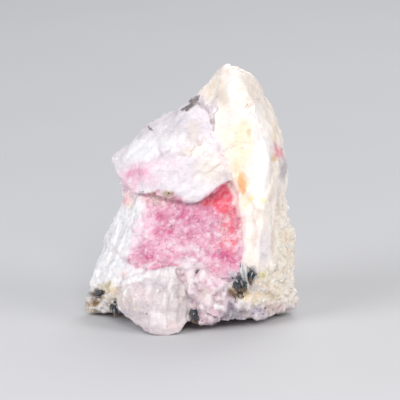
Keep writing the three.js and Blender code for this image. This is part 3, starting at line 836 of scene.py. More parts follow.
def spar_finish():
    """Milky spar and sugary tugtupite: the mesh's own tint under grains, healed cracks and pits."""
    finish = Finish("spar_and_tugtupite")
    tint = finish.attribute("tint", "Color")
    sugar = finish.attribute("sugar")
    crust = finish.attribute("crust")
    sheen = finish.attribute("sheen")
    glass = finish.attribute("glass")

    fine = finish.noise(0.00035, 3, 0.65)
    middling = finish.noise(0.0011, 3, 0.6)
    broad = finish.noise(0.0045, 4, 0.55)
    clouded = finish.ramp(middling, [(0.40, 0.0), (0.62, 1.0)])
    crack = finish.ramp(broad, [(0.478, 0.0), (0.5, 1.0), (0.522, 0.0)])
    healed = crack * finish.ramp(finish.noise(0.003, 2, 0.5), [(0.50, 0.0), (0.60, 1.0)])

    bent = finish.wander(0.0009, 0.0006)
    grain = finish.cells(0.0011, "Color", "F1", bent)
    own = finish.add("ShaderNodeSeparateColor", None, {"Color": grain}, 0)
    other = finish.add("ShaderNodeSeparateColor", None, {"Color": grain}, 1)
    seam = finish.cells(0.0011, "Distance", "DISTANCE_TO_EDGE", bent)
    gap = finish.ramp(seam, [(0.0, 1.0), (0.11, 0.0)])
    patchy = finish.ramp(finish.noise(0.0022, 2, 0.5), [(0.45, 0.0), (0.62, 1.0)])

    speckle = (fine - 0.5) * (0.8 + 0.6 * sugar - 0.6 * glass) + 0.12
    mottled = finish.blend(speckle, tint, PURE_WHITE, "SOFT_LIGHT")
    greyed = finish.blend(clouded * 0.16 * (1 - sugar), mottled, CLOUD_GREY, "MULTIPLY")
    veined = healed * (sheen + crust - 0.7 * glass) * 0.16
    cracked = finish.blend(veined, greyed, CRACK_GREY, "MULTIPLY")
    pale = finish.blend(sugar * clouded * own * 0.38, cracked, SUGAR_WHITE)
    deep = finish.blend(sugar * (1 - own) * 0.24, pale, tint, "MULTIPLY")
    lined = finish.blend(sugar * gap * patchy * 0.65, deep, SEAM_PINK, "MULTIPLY")
    dusty = finish.blend(crust * (1 - fine) * 0.3, lined, CRUST_DUST, "MULTIPLY")

    glint = finish.ramp(other, [(0.70, 0.0), (0.80, 1.0)])
    rough = 0.50 - glint * (sugar * 0.22 + sheen * 0.26) + (fine - 0.5) * 0.25 + crust * 0.2

    pits = finish.noise(0.0003, 4, 0.75)
    chips = finish.chips(0.0007) * (1.1 + sugar) + finish.chips(0.0016) * 1.6
    height = (pits * 0.5 + chips + middling * 0.5) * (1 - 0.75 * glass)
    return finish.surface(
        Base_Color=dusty, Roughness=rough, Normal=finish.bump(height, 0.00028, 0.9),
        Coat_Weight=glass * 0.35 + sheen * 0.1, Coat_Roughness=0.14,
        Subsurface_Weight=0.10, Subsurface_Radius=(1.0, 0.8, 0.75), Subsurface_Scale=0.0005,
        IOR=1.5,
    )


def aegirine_finish(colour):
    """Glossy blue-black aegirine, its faces streaked along the crystal, some ribs painted pale grey
    as glints, and its root rusty.
    """
    finish = Finish("aegirine")
    along = finish.add("ShaderNodeUVMap", {"uv_map": "along"})
    streaks = finish.noise(0.08, 3, 0.6, along)
    dust = finish.noise(0.0005, 3, 0.6)
    pale = tuple(min(1.0, part * 4.0 + 0.03) for part in colour)
    streaky = finish.ramp(streaks, [(0.42, 0.0), (0.68, 1.0)])
    streaked = finish.blend(streaky, (*colour, 1), (*pale, 1))
    # some ribs painted pale grey as glints
    clear = finish.ramp(finish.noise(3.0, 0, 0.5, along), [(0.52, 0.0), (0.57, 1.0)])
    tone = finish.blend(clear * 0.75, streaked, CRYSTAL_GLINT_GREY)
    dusty = finish.blend(finish.ramp(dust, [(0.62, 0.0), (0.72, 0.5)]), tone, CRYSTAL_DUST)
    patch = finish.noise(0.0009, 3, 0.6)
    reach = finish.attribute("rust") * 1.15 + (patch - 0.5) * 1.2
    fibrous = finish.ramp(streaks, [(0.50, 0.0), (0.62, 1.0)])
    ochre = finish.blend(fibrous, RUST_BROWN, RUST_OCHRE)
    rusty = finish.blend(finish.ramp(reach, [(0.50, 0.0), (0.66, 0.9)]), dusty, ochre)
    rough = 0.10 + dust * 0.18 + finish.ramp(reach, [(0.50, 0.0), (0.66, 0.4)])
    return finish.surface(
        Base_Color=rusty, Roughness=rough, Normal=finish.bump(streaks, 0.00012, 0.7), IOR=1.75,
    )


def blade_finish():
    """Clear white spar with faint cleavage lines along each blade."""
    finish = Finish("clear_spar")
    along = finish.add("ShaderNodeUVMap", {"uv_map": "along"})
    lines = finish.noise(0.12, 2, 0.5, along)
    milky = finish.blend(lines, BLADE_WHITE, BLADE_GREY)
    tone = finish.blend(finish.ramp(lines, [(0.55, 0.0), (0.60, 0.8)]), milky, BLADE_LINE)
    return finish.surface(
        Base_Color=tone, Roughness=0.18 + lines * 0.2, Normal=finish.bump(lines, 0.00008, 0.6),
        Subsurface_Weight=0.3, Subsurface_Radius=(1.0, 0.9, 0.9), Subsurface_Scale=0.001, IOR=1.5,
    )


def floor_finish(colour):
    """Matt pale card with a breath of unevenness."""
    finish = Finish("studio_card")
    cloud = finish.noise(0.05, 2, 0.5)
    tone = finish.blend(cloud * 0.06, (*colour, 1), PURE_WHITE)
    return finish.surface(Base_Color=tone, Roughness=0.8)


# ---------------------------------------- the stone

MERGE_WITHIN = 1e-6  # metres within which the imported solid's corners are one


def finished(name, mesh, material, slot=None):
    """An object of the mesh with its finish. One with a slot rides on the stone's body."""
    piece = bpy.data.objects.new(name, mesh)
    bpy.context.scene.collection.objects.link(piece)
    piece.data.materials.append(material)
    if slot:
        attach(piece, "root")
    return piece


def fine_skin(cell, rounds):
    """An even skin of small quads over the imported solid, its edges worn round."""
    coarse = bpy.data.meshes.new("coarse")
    shell = bmesh.new()
    shell.from_mesh(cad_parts[NODE].data)
    bmesh.ops.remove_doubles(shell, verts=shell.verts, dist=MERGE_WITHIN)
    shell.to_mesh(coarse)
    shell.free()
    holder = bpy.data.objects.new("coarse", coarse)
    bpy.context.scene.collection.objects.link(holder)
    remesh = holder.modifiers.new("skin", "REMESH")
    remesh.mode = "VOXEL"
    remesh.voxel_size = cell
    worn = holder.modifiers.new("worn", "SMOOTH")
    worn.factor = 0.5
    worn.iterations = rounds
    shaped = holder.evaluated_get(bpy.context.evaluated_depsgraph_get())
    skin = bpy.data.meshes.new_from_object(shaped)
    bpy.data.objects.remove(holder)
    bpy.data.meshes.remove(coarse)
    return skin


def vertex_numbers(mesh, what="co"):
    """The places or normals of a mesh's vertices, one row each."""
    numbers = np.empty(3 * len(mesh.vertices))
    mesh.vertices.foreach_get(what, numbers)
    return numbers.reshape(-1, 3)


class Survey:
    """What every spot of the skin belongs to: its place on the face, and its share of each part."""

    def __init__(self, places, normals):
        self.place = places / MM
        self.face = to_face(places)
        self.facing = ease(normals @ face_axes()[2], -0.05, 0.22)
        wander = np.column_stack([rolling(self.place, 2.2, 31), rolling(self.place, 2.2, 32)])
        fine = np.column_stack([rolling(self.place, 0.8, 33), rolling(self.place, 0.8, 34)])
        self.spots = self.face[:, :2] + 0.7 * wander + 0.25 * fine
        self.front = ease(self.face[:, 2] + 1.5 * wander[:, 0], *RIM_OUT)
        self.marked = self.front * np.maximum(self.facing, ease(self.face[:, 2], -2.5, 1.0))
        inside = {
            name: in_outline(self.spots, outline, SOFT_EDGES.get(name, SOFT_EDGE))
            for name, outline in PARTS.items()
        }
        total = sum(inside.values())
        kept = self.front * ease(total, 0.0, 0.3)
        self.share = {name: kept * part / np.maximum(total, 1e-6) for name, part in inside.items()}
        self.share["back"] = 1 - kept


def relief_of(survey):
    """How far each spot of the skin is pushed out in millimetres, and how much of that is fine."""
    place, share = survey.place, survey.share
    # every noise is given the size of its bumps in millimetres, then its seed
    rough = 0.13 * rolling(place, 2.0, 2) + 0.07 * rolling(place, 0.8, 3)
    lumps = rolling(place, LUMP_SIZE, 1)
    broad = Grains(place, FACET_SIZE, 4).ridges + 0.6 * Grains(place, HOLLOW_SIZE, 9).valleys
    small = Grains(place, CHIP_SIZE, 5).ridges
    domes = Grains(place, GRAIN_SIZE, 6).dome - 0.75
    coarse = np.zeros(len(place))
    fine = np.zeros(len(place))
    for name, how in BREAKS.items():
        part = share[name]
        here = part > 0.001
        coarse += part * (how.lumps * lumps + how.facets * broad)
        fine += part * (how.rough * rough + how.chips * small + how.grain * domes)
        if how.fibre and here.any():
            thick, thin = [fibres(survey.face[here], how.turn, *kind) for kind in FIBRES]
            fine[here] += part[here] * how.fibre * (thick + 0.5 * thin)
        if how.sheets and here.any():
            sheets = cleavage(survey.face[here], how.turn, SHEET_WIDTH, 10)
            coarse[here] += part[here] * how.sheets * sheets
    for cut in CUTS:
        away, along = to_line(survey.spots, cut.line)
        taper = np.sqrt(np.sin(math.pi * np.clip(along, 0.02, 0.98)))
        coarse -= survey.marked * cut.deep * taper * (1 - ease(away, 0, cut.wide))
    grown = near_crystals(survey.face, CLUSTER + SINGLES + BLADES)
    return (coarse + fine) * (1 - grown) - SUNK_UNDER * grown, fine


def near_crystals(place, crystals):
    """1 on the crystals that grow out of the stone, 0 away from them."""
    near = np.zeros(len(place))
    for one in crystals:
        root, tip = np.array(one.root), np.array(one.tip)
        axis = tip - root
        along = np.clip(((place - root) @ axis) / (axis @ axis), 0, 1.1)
        away = np.linalg.norm(place - root - along[:, None] * axis, axis=1)
        inner, outer = [width * one.thick for width in CRYSTAL_SKIRT]
        near = np.maximum(near, 1 - ease(away, inner, outer))
    return near


def mix_in(tint, colour, amount):
    """Lays a colour over the tint where amount is above 0."""
    tint += amount[:, None] * (shade(colour) - tint)


def face_tint(survey):
    """The colour of every spot of the face, as a screen shows it."""
    spots = survey.spots
    tint = sum(share[:, None] * shade(PART_COLOURS[name]) for name, share in survey.share.items())
    for colour, at, size, turn, amount in STAINS:
        mix_in(tint, colour, amount * survey.marked * in_oval(spots, at, size, turn))
    for colour, line, wide, amount in VEINS:
        away, _ = to_line(spots, line)
        mix_in(tint, colour, amount * survey.marked * (1 - ease(away, 0.4 * wide, 1.3 * wide)))
    mix_in(tint, CRYSTAL_BED, 0.95 * near_crystals(survey.face, CLUSTER + SINGLES))
    mix_in(tint, WEDGE_GREY, 0.55 * near_crystals(survey.face, [WEDGE]))
    mix_in(tint, WHITE, near_crystals(survey.face, BLADES))
    return tint


def back_tint(survey, tint):
    """Patches of tugtupite, ochre and grey over the sides and back. Gives how pink each spot is."""
    place, back = survey.place, survey.share["back"]
    broad = rolling(place, 13, 41)
    patchy = rolling(place, 4.5, 42)
    small = rolling(place, 1.5, 43)
    tiny = rolling(place, 0.6, 49)
    pink = ease(broad + 0.35 * patchy + 0.22 * small, 0.08, 0.55)
    cream = ease(rolling(place, 9, 44) + 0.4 * patchy, 0.0, 0.6)
    mix_in(tint, CREAM, back * cream)
    mix_in(tint, BUTTER, back * cream * ease(small, 0.0, 0.5) * 0.7)
    grey = ease(rolling(place, 6, 45) + 0.4 * small, 0.15, 0.6)
    mix_in(tint, FOG, back * grey * 0.55)
    ochre = ease(rolling(place, 5, 46) + 0.3 * small, 0.42, 0.75)
    mix_in(tint, OCHRE, back * ochre * 0.4)
    mix_in(tint, BLUSH, back * pink * 0.9)
    mix_in(tint, ROSE, back * ease(pink + 0.4 * patchy + 0.3 * small, 0.5, 1.4) * 0.8)
    mix_in(tint, MAGENTA, back * ease(pink + 0.8 * patchy + 0.5 * small, 1.2, 1.9) * 0.45)
    mix_in(tint, WHITE, back * pink * ease(tiny + 0.6 * small, 0.25, 0.6) * 0.7)
    dirt = ease(rolling(place, 3.2, 47) - 0.5 * np.abs(patchy) + 0.25 * tiny, 0.42, 0.6)
    mix_in(tint, SMOKE, back * dirt * 0.8)
    return back * pink


def mottle(survey, tint):
    """Small uneven patches that every part of the stone has."""
    place = survey.place
    cloud = rolling(place, 3.2, 51) * 0.6 + rolling(place, 1.1, 52) * 0.4
    streak = fibres(place, 20, 0.9, 7, 53)
    bed = survey.share["bed"]
    quiet = 1 - bed
    tint *= 1 - (0.05 * ease(cloud, 0.0, 0.6) * quiet)[:, None]
    mix_in(tint, WHITE, 0.5 * ease(-cloud, 0.15, 0.6) * quiet)
    mix_in(tint, WHITE, 0.6 * ease(streak, 0.1, 0.5) * survey.share["flank"])
    mix_in(tint, COOL, 0.45 * ease(-streak, 0.15, 0.5) * survey.share["flank"])
    mix_in(tint, BLUSH, 0.55 * ease(rolling(place, 1.0, 54), 0.15, 0.5) * bed)
    mix_in(tint, ROSE, 0.45 * ease(rolling(place, 1.4, 55), 0.15, 0.5) * bed)
    mix_in(tint, SUGAR, 0.6 * ease(rolling(place, 0.7, 56), 0.3, 0.6) * bed)
    rusty = ease(rolling(place, 1.3, 57), 0.2, 0.6) * (survey.share["crust"] + survey.share["toe"])
    mix_in(tint, BUTTER, 0.6 * rusty)
    mix_in(tint, BEIGE, 0.6 * ease(rolling(place, 0.9, 58), 0.3, 0.6) * survey.share["crust"])


def shade_pits_and_light_crests(survey, tint, fine):
    """Painted shade in the pits of the break, tinted to suit each part, and a painted highlight on
    its crests.
    """
    share = survey.share
    pits = ease(-fine, 0.04, 0.22)
    crests = ease(fine, 0.06, 0.24)
    clean = share["block"] + share["column"] + share["flank"] + share["lump"]
    dusty = share["crust"] + share["toe"]
    mix_in(tint, GREY_PIT_SHADE, 0.30 * pits * clean)
    dull = share["sill"] + 1.3 * share["foot"] + 0.6 * share["back"]
    mix_in(tint, MAUVE_PIT_SHADE, 0.50 * pits * dull)
    mix_in(tint, BROWN_PIT_SHADE, 0.30 * pits * dusty)
    mix_in(tint, PINK_PIT_SHADE, 0.34 * pits * share["bed"])
    mix_in(tint, CREST_HIGHLIGHT, 0.5 * crests * (1 - share["coral"] - 0.5 * share["bed"]))


def keep_tint(mesh, tints):
    """Keeps a tint, as light, on each vertex of a mesh."""
    rgba = np.column_stack([tints, np.ones(len(tints))])
    layer = mesh.color_attributes.new("tint", "FLOAT_COLOR", "POINT")
    layer.data.foreach_set("color", rgba.ravel())


def paint(mesh, survey, fine):
    """The tint, and how sugary, crusted, sheeny and glassy each spot is, kept on the mesh."""
    tint = face_tint(survey)
    pink = back_tint(survey, tint)
    mottle(survey, tint)
    shade_pits_and_light_crests(survey, tint, fine)
    share = survey.share
    milky = share["block"] + share["column"] + share["flank"] + share["lump"]
    crumbly = share["crust"] + 0.5 * share["toe"] + 0.3 * share["foot"]
    polished = share["column"] + 0.6 * share["coral"] + 0.6 * share["block"]
    layers = {
        "sugar": share["bed"] + 0.1 * share["coral"] + 0.8 * pink,
        "crust": crumbly + 0.2 * share["back"],
        "sheen": milky + 0.5 * share["back"],
        "glass": polished + 0.3 * share["lump"],
    }
    for name, values in layers.items():
        mesh.attributes.new(name, "FLOAT", "POINT").data.foreach_set("value", np.clip(values, 0, 1))
    keep_tint(mesh, linear(np.clip(tint, 0, 1)))


class TUGTUPITE_OT_stone(bpy.types.Operator):
    """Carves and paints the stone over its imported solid"""
    bl_idname = "tugtupite.stone"
    bl_label = "Stone"

    def execute(self, context):
        settings = context.scene.tugtupite_stone
        mesh = fine_skin(settings.cell, settings.wear)
        places = vertex_numbers(mesh)
        normals = vertex_numbers(mesh, "normal")
        survey = Survey(places, normals)
        whole, fine = relief_of(survey)
        relief = settings.relief * whole * ease(survey.place[:, 2], 0.0, BASE_FADE)
        carved = np.clip(places + normals * relief[:, None] * MM, *map(np.array, CAD_BOX))
        mesh.vertices.foreach_set("co", carved.ravel())
        paint(mesh, survey, fine)
        mesh.update()
        mesh.shade_smooth()
        mesh.set_sharp_from_angle(angle=settings.crease)
        mesh.name = SKIN
        piece = finished(SKIN, mesh, spar_finish(), "stone")
        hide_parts(NODE)
        return {"FINISHED"}


# ---------------------------------------- aegirine and spar blades

def ribbed(root, tip, thick, ribs, dice):
    """A crystal's core and the prisms that grew along it, as roots, tips, widths and twists."""
    root, axis = Vector(root), Vector(tip) - Vector(root)
    found = [(root, root + axis, CRYSTAL_CORE * thick, 0.0)]
    for i in range(ribs):
        around_axis = Quaternion(axis, math.tau * (i + dice.uniform(-0.3, 0.3)) / ribs)
        away = around_axis @ axis.orthogonal().normalized() * thick * dice.uniform(0.20, 0.36)
        start = root + away + axis * dice.uniform(0.0, 0.2)
        end = root + away * dice.uniform(0.6, 1.3) + axis * dice.uniform(0.62, 1.04)
        found.append((start, end, thick * dice.uniform(0.26, 0.46), dice.uniform(-0.5, 0.5)))
    return found


def upright_to(axis):
    """The turn that lays what stands upright along an axis."""
    return Vector((0, 0, 1)).rotation_difference(axis).to_matrix().to_4x4()


def pointed_prism(thick, length, bevel):
    """A flattened prism that stands on the origin, its end slanting in to a blunt point."""
    shaft = CRYSTAL_SHOULDER * length
    prism = bmesh.new()
    bmesh.ops.create_cone(
        prism, cap_ends=True, segments=CRYSTAL_SIDES, radius1=thick / 2, radius2=thick / 2,
        depth=shaft, matrix=Matrix.Translation((0, 0, shaft / 2)),
    )
    top = max(prism.faces, key=lambda face: face.calc_center_median().z)
    grown = bmesh.ops.extrude_face_region(prism, geom=[top])["geom"]
    point = [item for item in grown if isinstance(item, bmesh.types.BMVert)]
    bmesh.ops.delete(prism, geom=[top], context="FACES")
    bmesh.ops.scale(prism, vec=(CRYSTAL_POINT, CRYSTAL_POINT, 1), verts=point)
    bmesh.ops.translate(prism, vec=(0, 0, length - shaft), verts=point)
    flatten = Matrix.Diagonal((1, CRYSTAL_FLAT, 1, 1)) @ Matrix.Rotation(math.pi / 2, 4, "Z")
    bmesh.ops.transform(prism, matrix=flatten, verts=prism.verts)
    bmesh.ops.bevel(
        prism, geom=prism.edges, offset=bevel * thick, affect="EDGES", segments=1, profile=0.5,
        material=-1,
    )
    return prism


def map_streaks(prism, thick, twist):
    """Tells the streaks how far round and how far up each corner is. A twist shifts them."""
    layer = prism.loops.layers.uv.new("along")
    for face in prism.faces:
        for loop in face.loops:
            spot = loop.vert.co
            round_it = math.atan2(spot.y, spot.x) / math.tau
            loop[layer].uv = (round_it + 20 * twist, 0.04 * spot.z / thick + 7 * twist)


def stain_root(prism, length, rust):
    """Rust that is strongest at the root and gone at the tip."""
    layer = prism.verts.layers.float.new("rust")
    for vert in prism.verts:
        vert[layer] = rust * (1 - vert.co.z / length)


def crystal(target, root, tip, thick, twist, bevel, rust):
    """Adds one crystal from root to tip, turned about itself by a twist."""
    axis = Vector(tip) - Vector(root)
    prism = pointed_prism(thick, axis.length, bevel)
    map_streaks(prism, thick, twist)
    stain_root(prism, axis.length, rust)
    turn = upright_to(axis) @ Matrix.Rotation(twist, 4, "Z")
    bmesh.ops.transform(prism, matrix=Matrix.Translation(root) @ turn, verts=prism.verts)
    add_to(target, prism)


def add_to(target, part):
    """Moves one bmesh into another."""
    carrier = bpy.data.meshes.new("carrier")
    part.to_mesh(carrier)
    part.free()
    target.from_mesh(carrier)
    bpy.data.meshes.remove(carrier)


def crystal_piece(name, crystals, bevel, ribs, dice, material, slot, rust):
    """Several crystals as one piece, in metres. Rust is how stained their roots are, 0 to 1."""
    group = bmesh.new()
    group.loops.layers.uv.new("along")
    group.verts.layers.float.new("rust")
    for whole in crystals:
        for root, tip, thick, twist in ribbed(*whole, ribs, dice):
            crystal(group, root, tip, thick, twist, bevel, rust)
    mesh = bpy.data.meshes.new(name)
    group.to_mesh(mesh)
    group.free()
    return finished(name, mesh, material, slot)


def on_face(crystals, swell):
    """Crystals listed on the face, with roots, tips and widths in metres."""
    return [(from_face(one.root), from_face(one.tip), one.thick * MM * swell) for one in crystals]


class Skin:
    """The carved stone, for setting small things on it."""

    def __init__(self, piece):
        mesh = piece.data
        self.tree = BVHTree.FromObject(piece, bpy.context.evaluated_depsgraph_get())
        self.place = vertex_numbers(mesh)
        self.normal = vertex_numbers(mesh, "normal")
        tint = np.empty(4 * len(mesh.vertices))
        mesh.color_attributes["tint"].data.foreach_get("color", tint)
        self.tint = tint.reshape(-1, 4)[:, :3]
        self.layers = {}
        for name in ("sugar", "crust", "sheen"):
            values = np.empty(len(mesh.vertices))
            mesh.attributes[name].data.foreach_get("value", values)
            self.layers[name] = values

    def under(self, across, up):
        """The skin's place and normal where a line square to the face meets it."""
        start = Vector(from_face((across, up, CLEAR_OUT)))
        place, normal, _, _ = self.tree.ray_cast(start, -Vector(face_axes()[2]))
        return place, normal


def needles(skin, spray, dice):
    """The roots, tips and widths of a spray's needles, which lie along the skin."""
    found = []
    for _ in range(spray.count):
        spot = np.array(spray.at) + spray.apart * dice.uniform(-1, 1, 2)
        turn = math.radians(spray.turn + spray.fan * dice.uniform(-1, 1))
        long = spray.long * dice.uniform(0.6, 1.1)
        far = spot + long * np.array([math.sin(turn), math.cos(turn)])
        root, inward = skin.under(*spot)
        tip, outward = skin.under(*far)
        if root is None or tip is None:
            continue
        thick = spray.wide * MM * dice.uniform(0.6, 1.2)
        lift = dice.uniform(0.1, 0.7) * thick
        found.append((root - 0.6 * thick * inward, tip + lift * outward, thick))
    return found


def lying(skin, group, dice):
    """The roots, tips and widths of crystals that lie half sunk in the skin nearest to a place."""
    found = []
    main = dice.uniform(0, math.tau)
    for _ in range(group.count):
        near = Vector(group.near) + group.apart * Vector(dice.normal(0, 0.45, 3))
        place, normal, _, _ = skin.tree.find_nearest(near * MM)
        along = Quaternion(normal, main + dice.normal(0, 0.4)) @ normal.orthogonal().normalized()
        long = group.long * MM * dice.uniform(0.4, 1.2)
        thick = group.wide * MM * dice.uniform(0.5, 1.1)
        sunk = place - 0.3 * thick * normal
        rise = dice.uniform(0, 0.15) * normal
        found.append((sunk - 0.5 * long * along, sunk + long * (0.5 * along + rise), thick))
    return found


class TUGTUPITE_OT_crystals(bpy.types.Operator):
    """Grows the black aegirine and the clear spar blades out of the stone"""
    bl_idname = "tugtupite.crystals"
    bl_label = "Crystals"

    def execute(self, context):
        settings = context.scene.tugtupite_crystals
        skin = Skin(bpy.data.objects[SKIN])
        dice = np.random.default_rng(settings.seed)
        dark = [one for spray in DARK_SPRAYS for one in needles(skin, spray, dice)]
        clear = [one for spray in CLEAR_SPRAYS for one in needles(skin, spray, dice)]
        back_dice = np.random.default_rng(settings.back_seed)
        sunk = [one for group in BACK_GROUPS for one in lying(skin, group, back_dice)]
        black = aegirine_finish(tuple(settings.colour))
        pieces = [
            ("aegirine_cluster", on_face(CLUSTER, settings.swell), RIBS, black, "aegirine", 1.0),
            ("aegirine_singles", on_face(SINGLES, settings.swell), RIBS, black, "aegirine", 0.75),
            ("aegirine_needles", dark, 0, black, "aegirine", 1.0),
            ("aegirine_lying", sunk, 4, black, "aegirine", 0.5),
            ("spar_blades", on_face(BLADES, settings.swell), RIBS, blade_finish(), "stone", 0.0),
            ("spar_needles", clear + on_face(SLIVERS, 1), 2, blade_finish(), "stone", 0.0),
        ]
        for name, crystals, ribs, material, slot, rust in pieces:
            crystal_piece(name, crystals, settings.bevel, ribs, dice, material, slot, rust)
        return {"FINISHED"}


# ---------------------------------------- grains

# The heaps of grains: the layer of the skin that each follows, its grains' width over the
# usual, how deep they are sunk and how flat they are, and the share of them that is whitened.
Heap = namedtuple("Heap", "name layer size sunk flat white")
HEAPS = [
    Heap("tugtupite_grains", "sugar", 0.9, 0.8, 0.7, 0.04),
    Heap("crust_crumbs", "crust", 1.1, 0.6, 0.75, 0.08),
    Heap("spar_chips", "sheen", 1.6, 0.72, 0.42, 0.30),
]
SPECK_HEAP = Heap("aegirine_specks", None, 1, 0.35, 0.7, 0)
SPECK_TINT = 0.02


def grain_piece(heap, spots, normals, sizes, tints, dice, material, slot):
    """Small broken grains set in the skin as one piece. Places and sizes are in metres."""
    whole = bmesh.new()
    for first in range(0, len(spots), GRAINS_AT_ONCE):
        group = bmesh.new()
        some = slice(first, first + GRAINS_AT_ONCE)
        for spot, normal, size in zip(spots[some], normals[some], map(float, sizes[some])):
            turn = upright_to(Vector(normal))
            spin = Matrix.Rotation(dice.uniform(0, math.tau), 4, "Z")
            lean = Matrix.Rotation(dice.normal(0, 0.35), 4, "X")
            shape = Matrix.Diagonal((dice.uniform(0.7, 1.2), dice.uniform(0.7, 1.2), heap.flat, 1))
            depth = Vector(normal) * heap.sunk * heap.flat * size / 2
            middle = Matrix.Translation(Vector(spot) - depth)
            bmesh.ops.create_icosphere(
                group, subdivisions=1, radius=size / 2, matrix=middle @ turn @ lean @ spin @ shape,
            )
        add_to(whole, group)
    mesh = bpy.data.meshes.new(heap.name)
    whole.to_mesh(mesh)
    whole.free()
    kept = np.clip(vertex_numbers(mesh), *map(np.array, CAD_BOX))
    mesh.vertices.foreach_set("co", kept.ravel())
    corners = len(mesh.vertices) // len(spots)
    keep_tint(mesh, np.repeat(tints, corners, axis=0))
    mesh.shade_flat()
    return finished(heap.name, mesh, material, slot)


def strewn(skin, layer, count, dice):
    """Random vertices of the skin, more of them where the layer is strong."""
    weight = skin.layers[layer] ** 1.5 * (skin.place[:, 2] > GRAIN_FLOOR * MM)
    return dice.choice(len(weight), count, replace=False, p=weight / weight.sum())


def grain_finish(name, rough, depth):
    """Grains in their own tint, with a fine clouding and facets that catch the light."""
    finish = Finish(name)
    tint = finish.attribute("tint", "Color")
    cloud = finish.noise(0.0004, 3, 0.6)
    tone = finish.blend((cloud - 0.5) * 0.6 + 0.1, tint, PURE_WHITE, "SOFT_LIGHT")
    return finish.surface(
        Base_Color=tone, Roughness=rough + (cloud - 0.5) * 0.25,
        Normal=finish.bump(cloud, depth, 0.6),
        Subsurface_Weight=0.15, Subsurface_Radius=(1.0, 0.8, 0.8), Subsurface_Scale=0.0006,
        IOR=1.5,
    )


class TUGTUPITE_OT_grains(bpy.types.Operator):
    """Strews sugary tugtupite grains, crust crumbs, spar chips and black specks over the stone"""
    bl_idname = "tugtupite.grains"
    bl_label = "Grains"

    def execute(self, context):
        settings = context.scene.tugtupite_grains
        skin = Skin(bpy.data.objects[SKIN])
        dice = np.random.default_rng(settings.seed)
        sugar = grain_finish("sugary_grains", 0.32, 0.0001)
        crumbs = grain_finish("crust_crumbs", 0.62, 0.0002)
        counts = (settings.sugar, settings.crumbs, settings.chips)
        for heap, count, material in zip(HEAPS, counts, (sugar, crumbs, sugar)):
            chosen = strewn(skin, heap.layer, count, dice)
            sizes = heap.size * settings.size * dice.lognormal(0, 0.45, count).clip(0.45, 2.4)
            white = (dice.random(count) < heap.white) * dice.uniform(0.1, 0.55, count)
            lightness = dice.uniform(0.90, 1.07, count)
            tints = skin.tint[chosen] * lightness[:, None]
            tints = (tints + white[:, None] * (0.9 - tints)).clip(0, 0.95)
            spots, normals = skin.place[chosen], skin.normal[chosen]
            grain_piece(heap, spots, normals, sizes, tints, dice, material, "stone")
        found = [(*skin.under(across, up), wide * MM) for across, up, wide in SPECKS]
        spots, normals, sizes = zip(*[one for one in found if one[0]])
        black = aegirine_finish(tuple(context.scene.tugtupite_crystals.colour))
        dark = np.full((len(spots), 3), SPECK_TINT)
        grain_piece(SPECK_HEAP, spots, normals, sizes, dark, dice, black, "aegirine")
        return {"FINISHED"}


# ---------------------------------------- studio

# The soft lamps: how far each is from the stone and how wide it is in metres, where it hangs in
# degrees (azimuth 0 is in front, and it grows to the right), its share of the power that is set
# for it, and its colour.
Lamp = namedtuple("Lamp", "name distance azimuth elevation size share colour")
LAMPS = [
    Lamp("key", 0.55, 8, 30, 0.16, 1.0, (1.0, 0.98, 0.95)),
    Lamp("left", 0.60, -50, 26, 0.30, 1.65, (0.97, 0.98, 1.0)),
    Lamp("right", 0.60, 62, 30, 0.30, 1.0, (1.0, 0.98, 0.95)),
    Lamp("back", 0.60, 165, 45, 0.35, 1.0, (1.0, 1.0, 1.0)),
]
SENSOR = 36  # width of the camera's sensor in millimetres
FLOOR_SIDES = 96
SURROUND_TINT = (0.95, 0.97, 1.0, 1)


def aimed(item, place, target):
    """Puts a lamp or camera at a place and turns it to look at a target."""
    item.location = place
    item.rotation_euler = (Vector(target) - Vector(place)).to_track_quat("-Z", "Y").to_euler()


def around(target, distance, azimuth, elevation):
    """A place seen from a target: azimuth 0 is in front, and it grows to the right."""
    turn, rise = math.radians(azimuth), math.radians(elevation)
    level = math.cos(rise)
    offset = Vector((level * math.sin(turn), -level * math.cos(turn), math.sin(rise)))
    return Vector(target) + distance * offset


def softbox(lamp, target, power):
    """A square soft lamp that looks at a target."""
    light = bpy.data.lights.new(lamp.name, "AREA")
    light.shape = "SQUARE"
    light.size = lamp.size
    light.energy = power
    light.color = lamp.colour
    box = bpy.data.objects.new(lamp.name, light)
    bpy.context.scene.collection.objects.link(box)
    aimed(box, around(target, lamp.distance, lamp.azimuth, lamp.elevation), target)


def lay_floor(width, colour):
    """A round pale card under the stone."""
    disc = bmesh.new()
    bmesh.ops.create_circle(disc, cap_ends=True, segments=FLOOR_SIDES, radius=width / 2)
    card = bpy.data.meshes.new("floor")
    disc.to_mesh(card)
    disc.free()
    floor = finished("floor", card, floor_finish(colour))


def light_all_round(scene, strength):
    """Pale surroundings, and colours shown as they are."""
    world = bpy.data.worlds.new("studio")
    world.use_nodes = True
    background = world.node_tree.nodes["Background"]
    background.inputs["Color"].default_value = SURROUND_TINT
    background.inputs["Strength"].default_value = strength
    scene.world = world
    scene.view_settings.view_transform = "Standard"


def set_camera(scene, focal):
    """A camera that looks square at the display face, its focal length in millimetres."""
    lens = bpy.data.cameras.new("camera")
    lens.type = "PERSP"
    lens.lens = focal
    lens.sensor_width = SENSOR
    lens.dof.use_dof = False
    camera = bpy.data.objects.new("camera", lens)
    scene.collection.objects.link(camera)
    aim = Vector(from_face(VIEW_AIM))
    distance = VIEW_WIDTH * MM * focal / SENSOR
    aimed(camera, around(aim, distance, 0, math.degrees(LEAN)), aim)
    scene.camera = camera


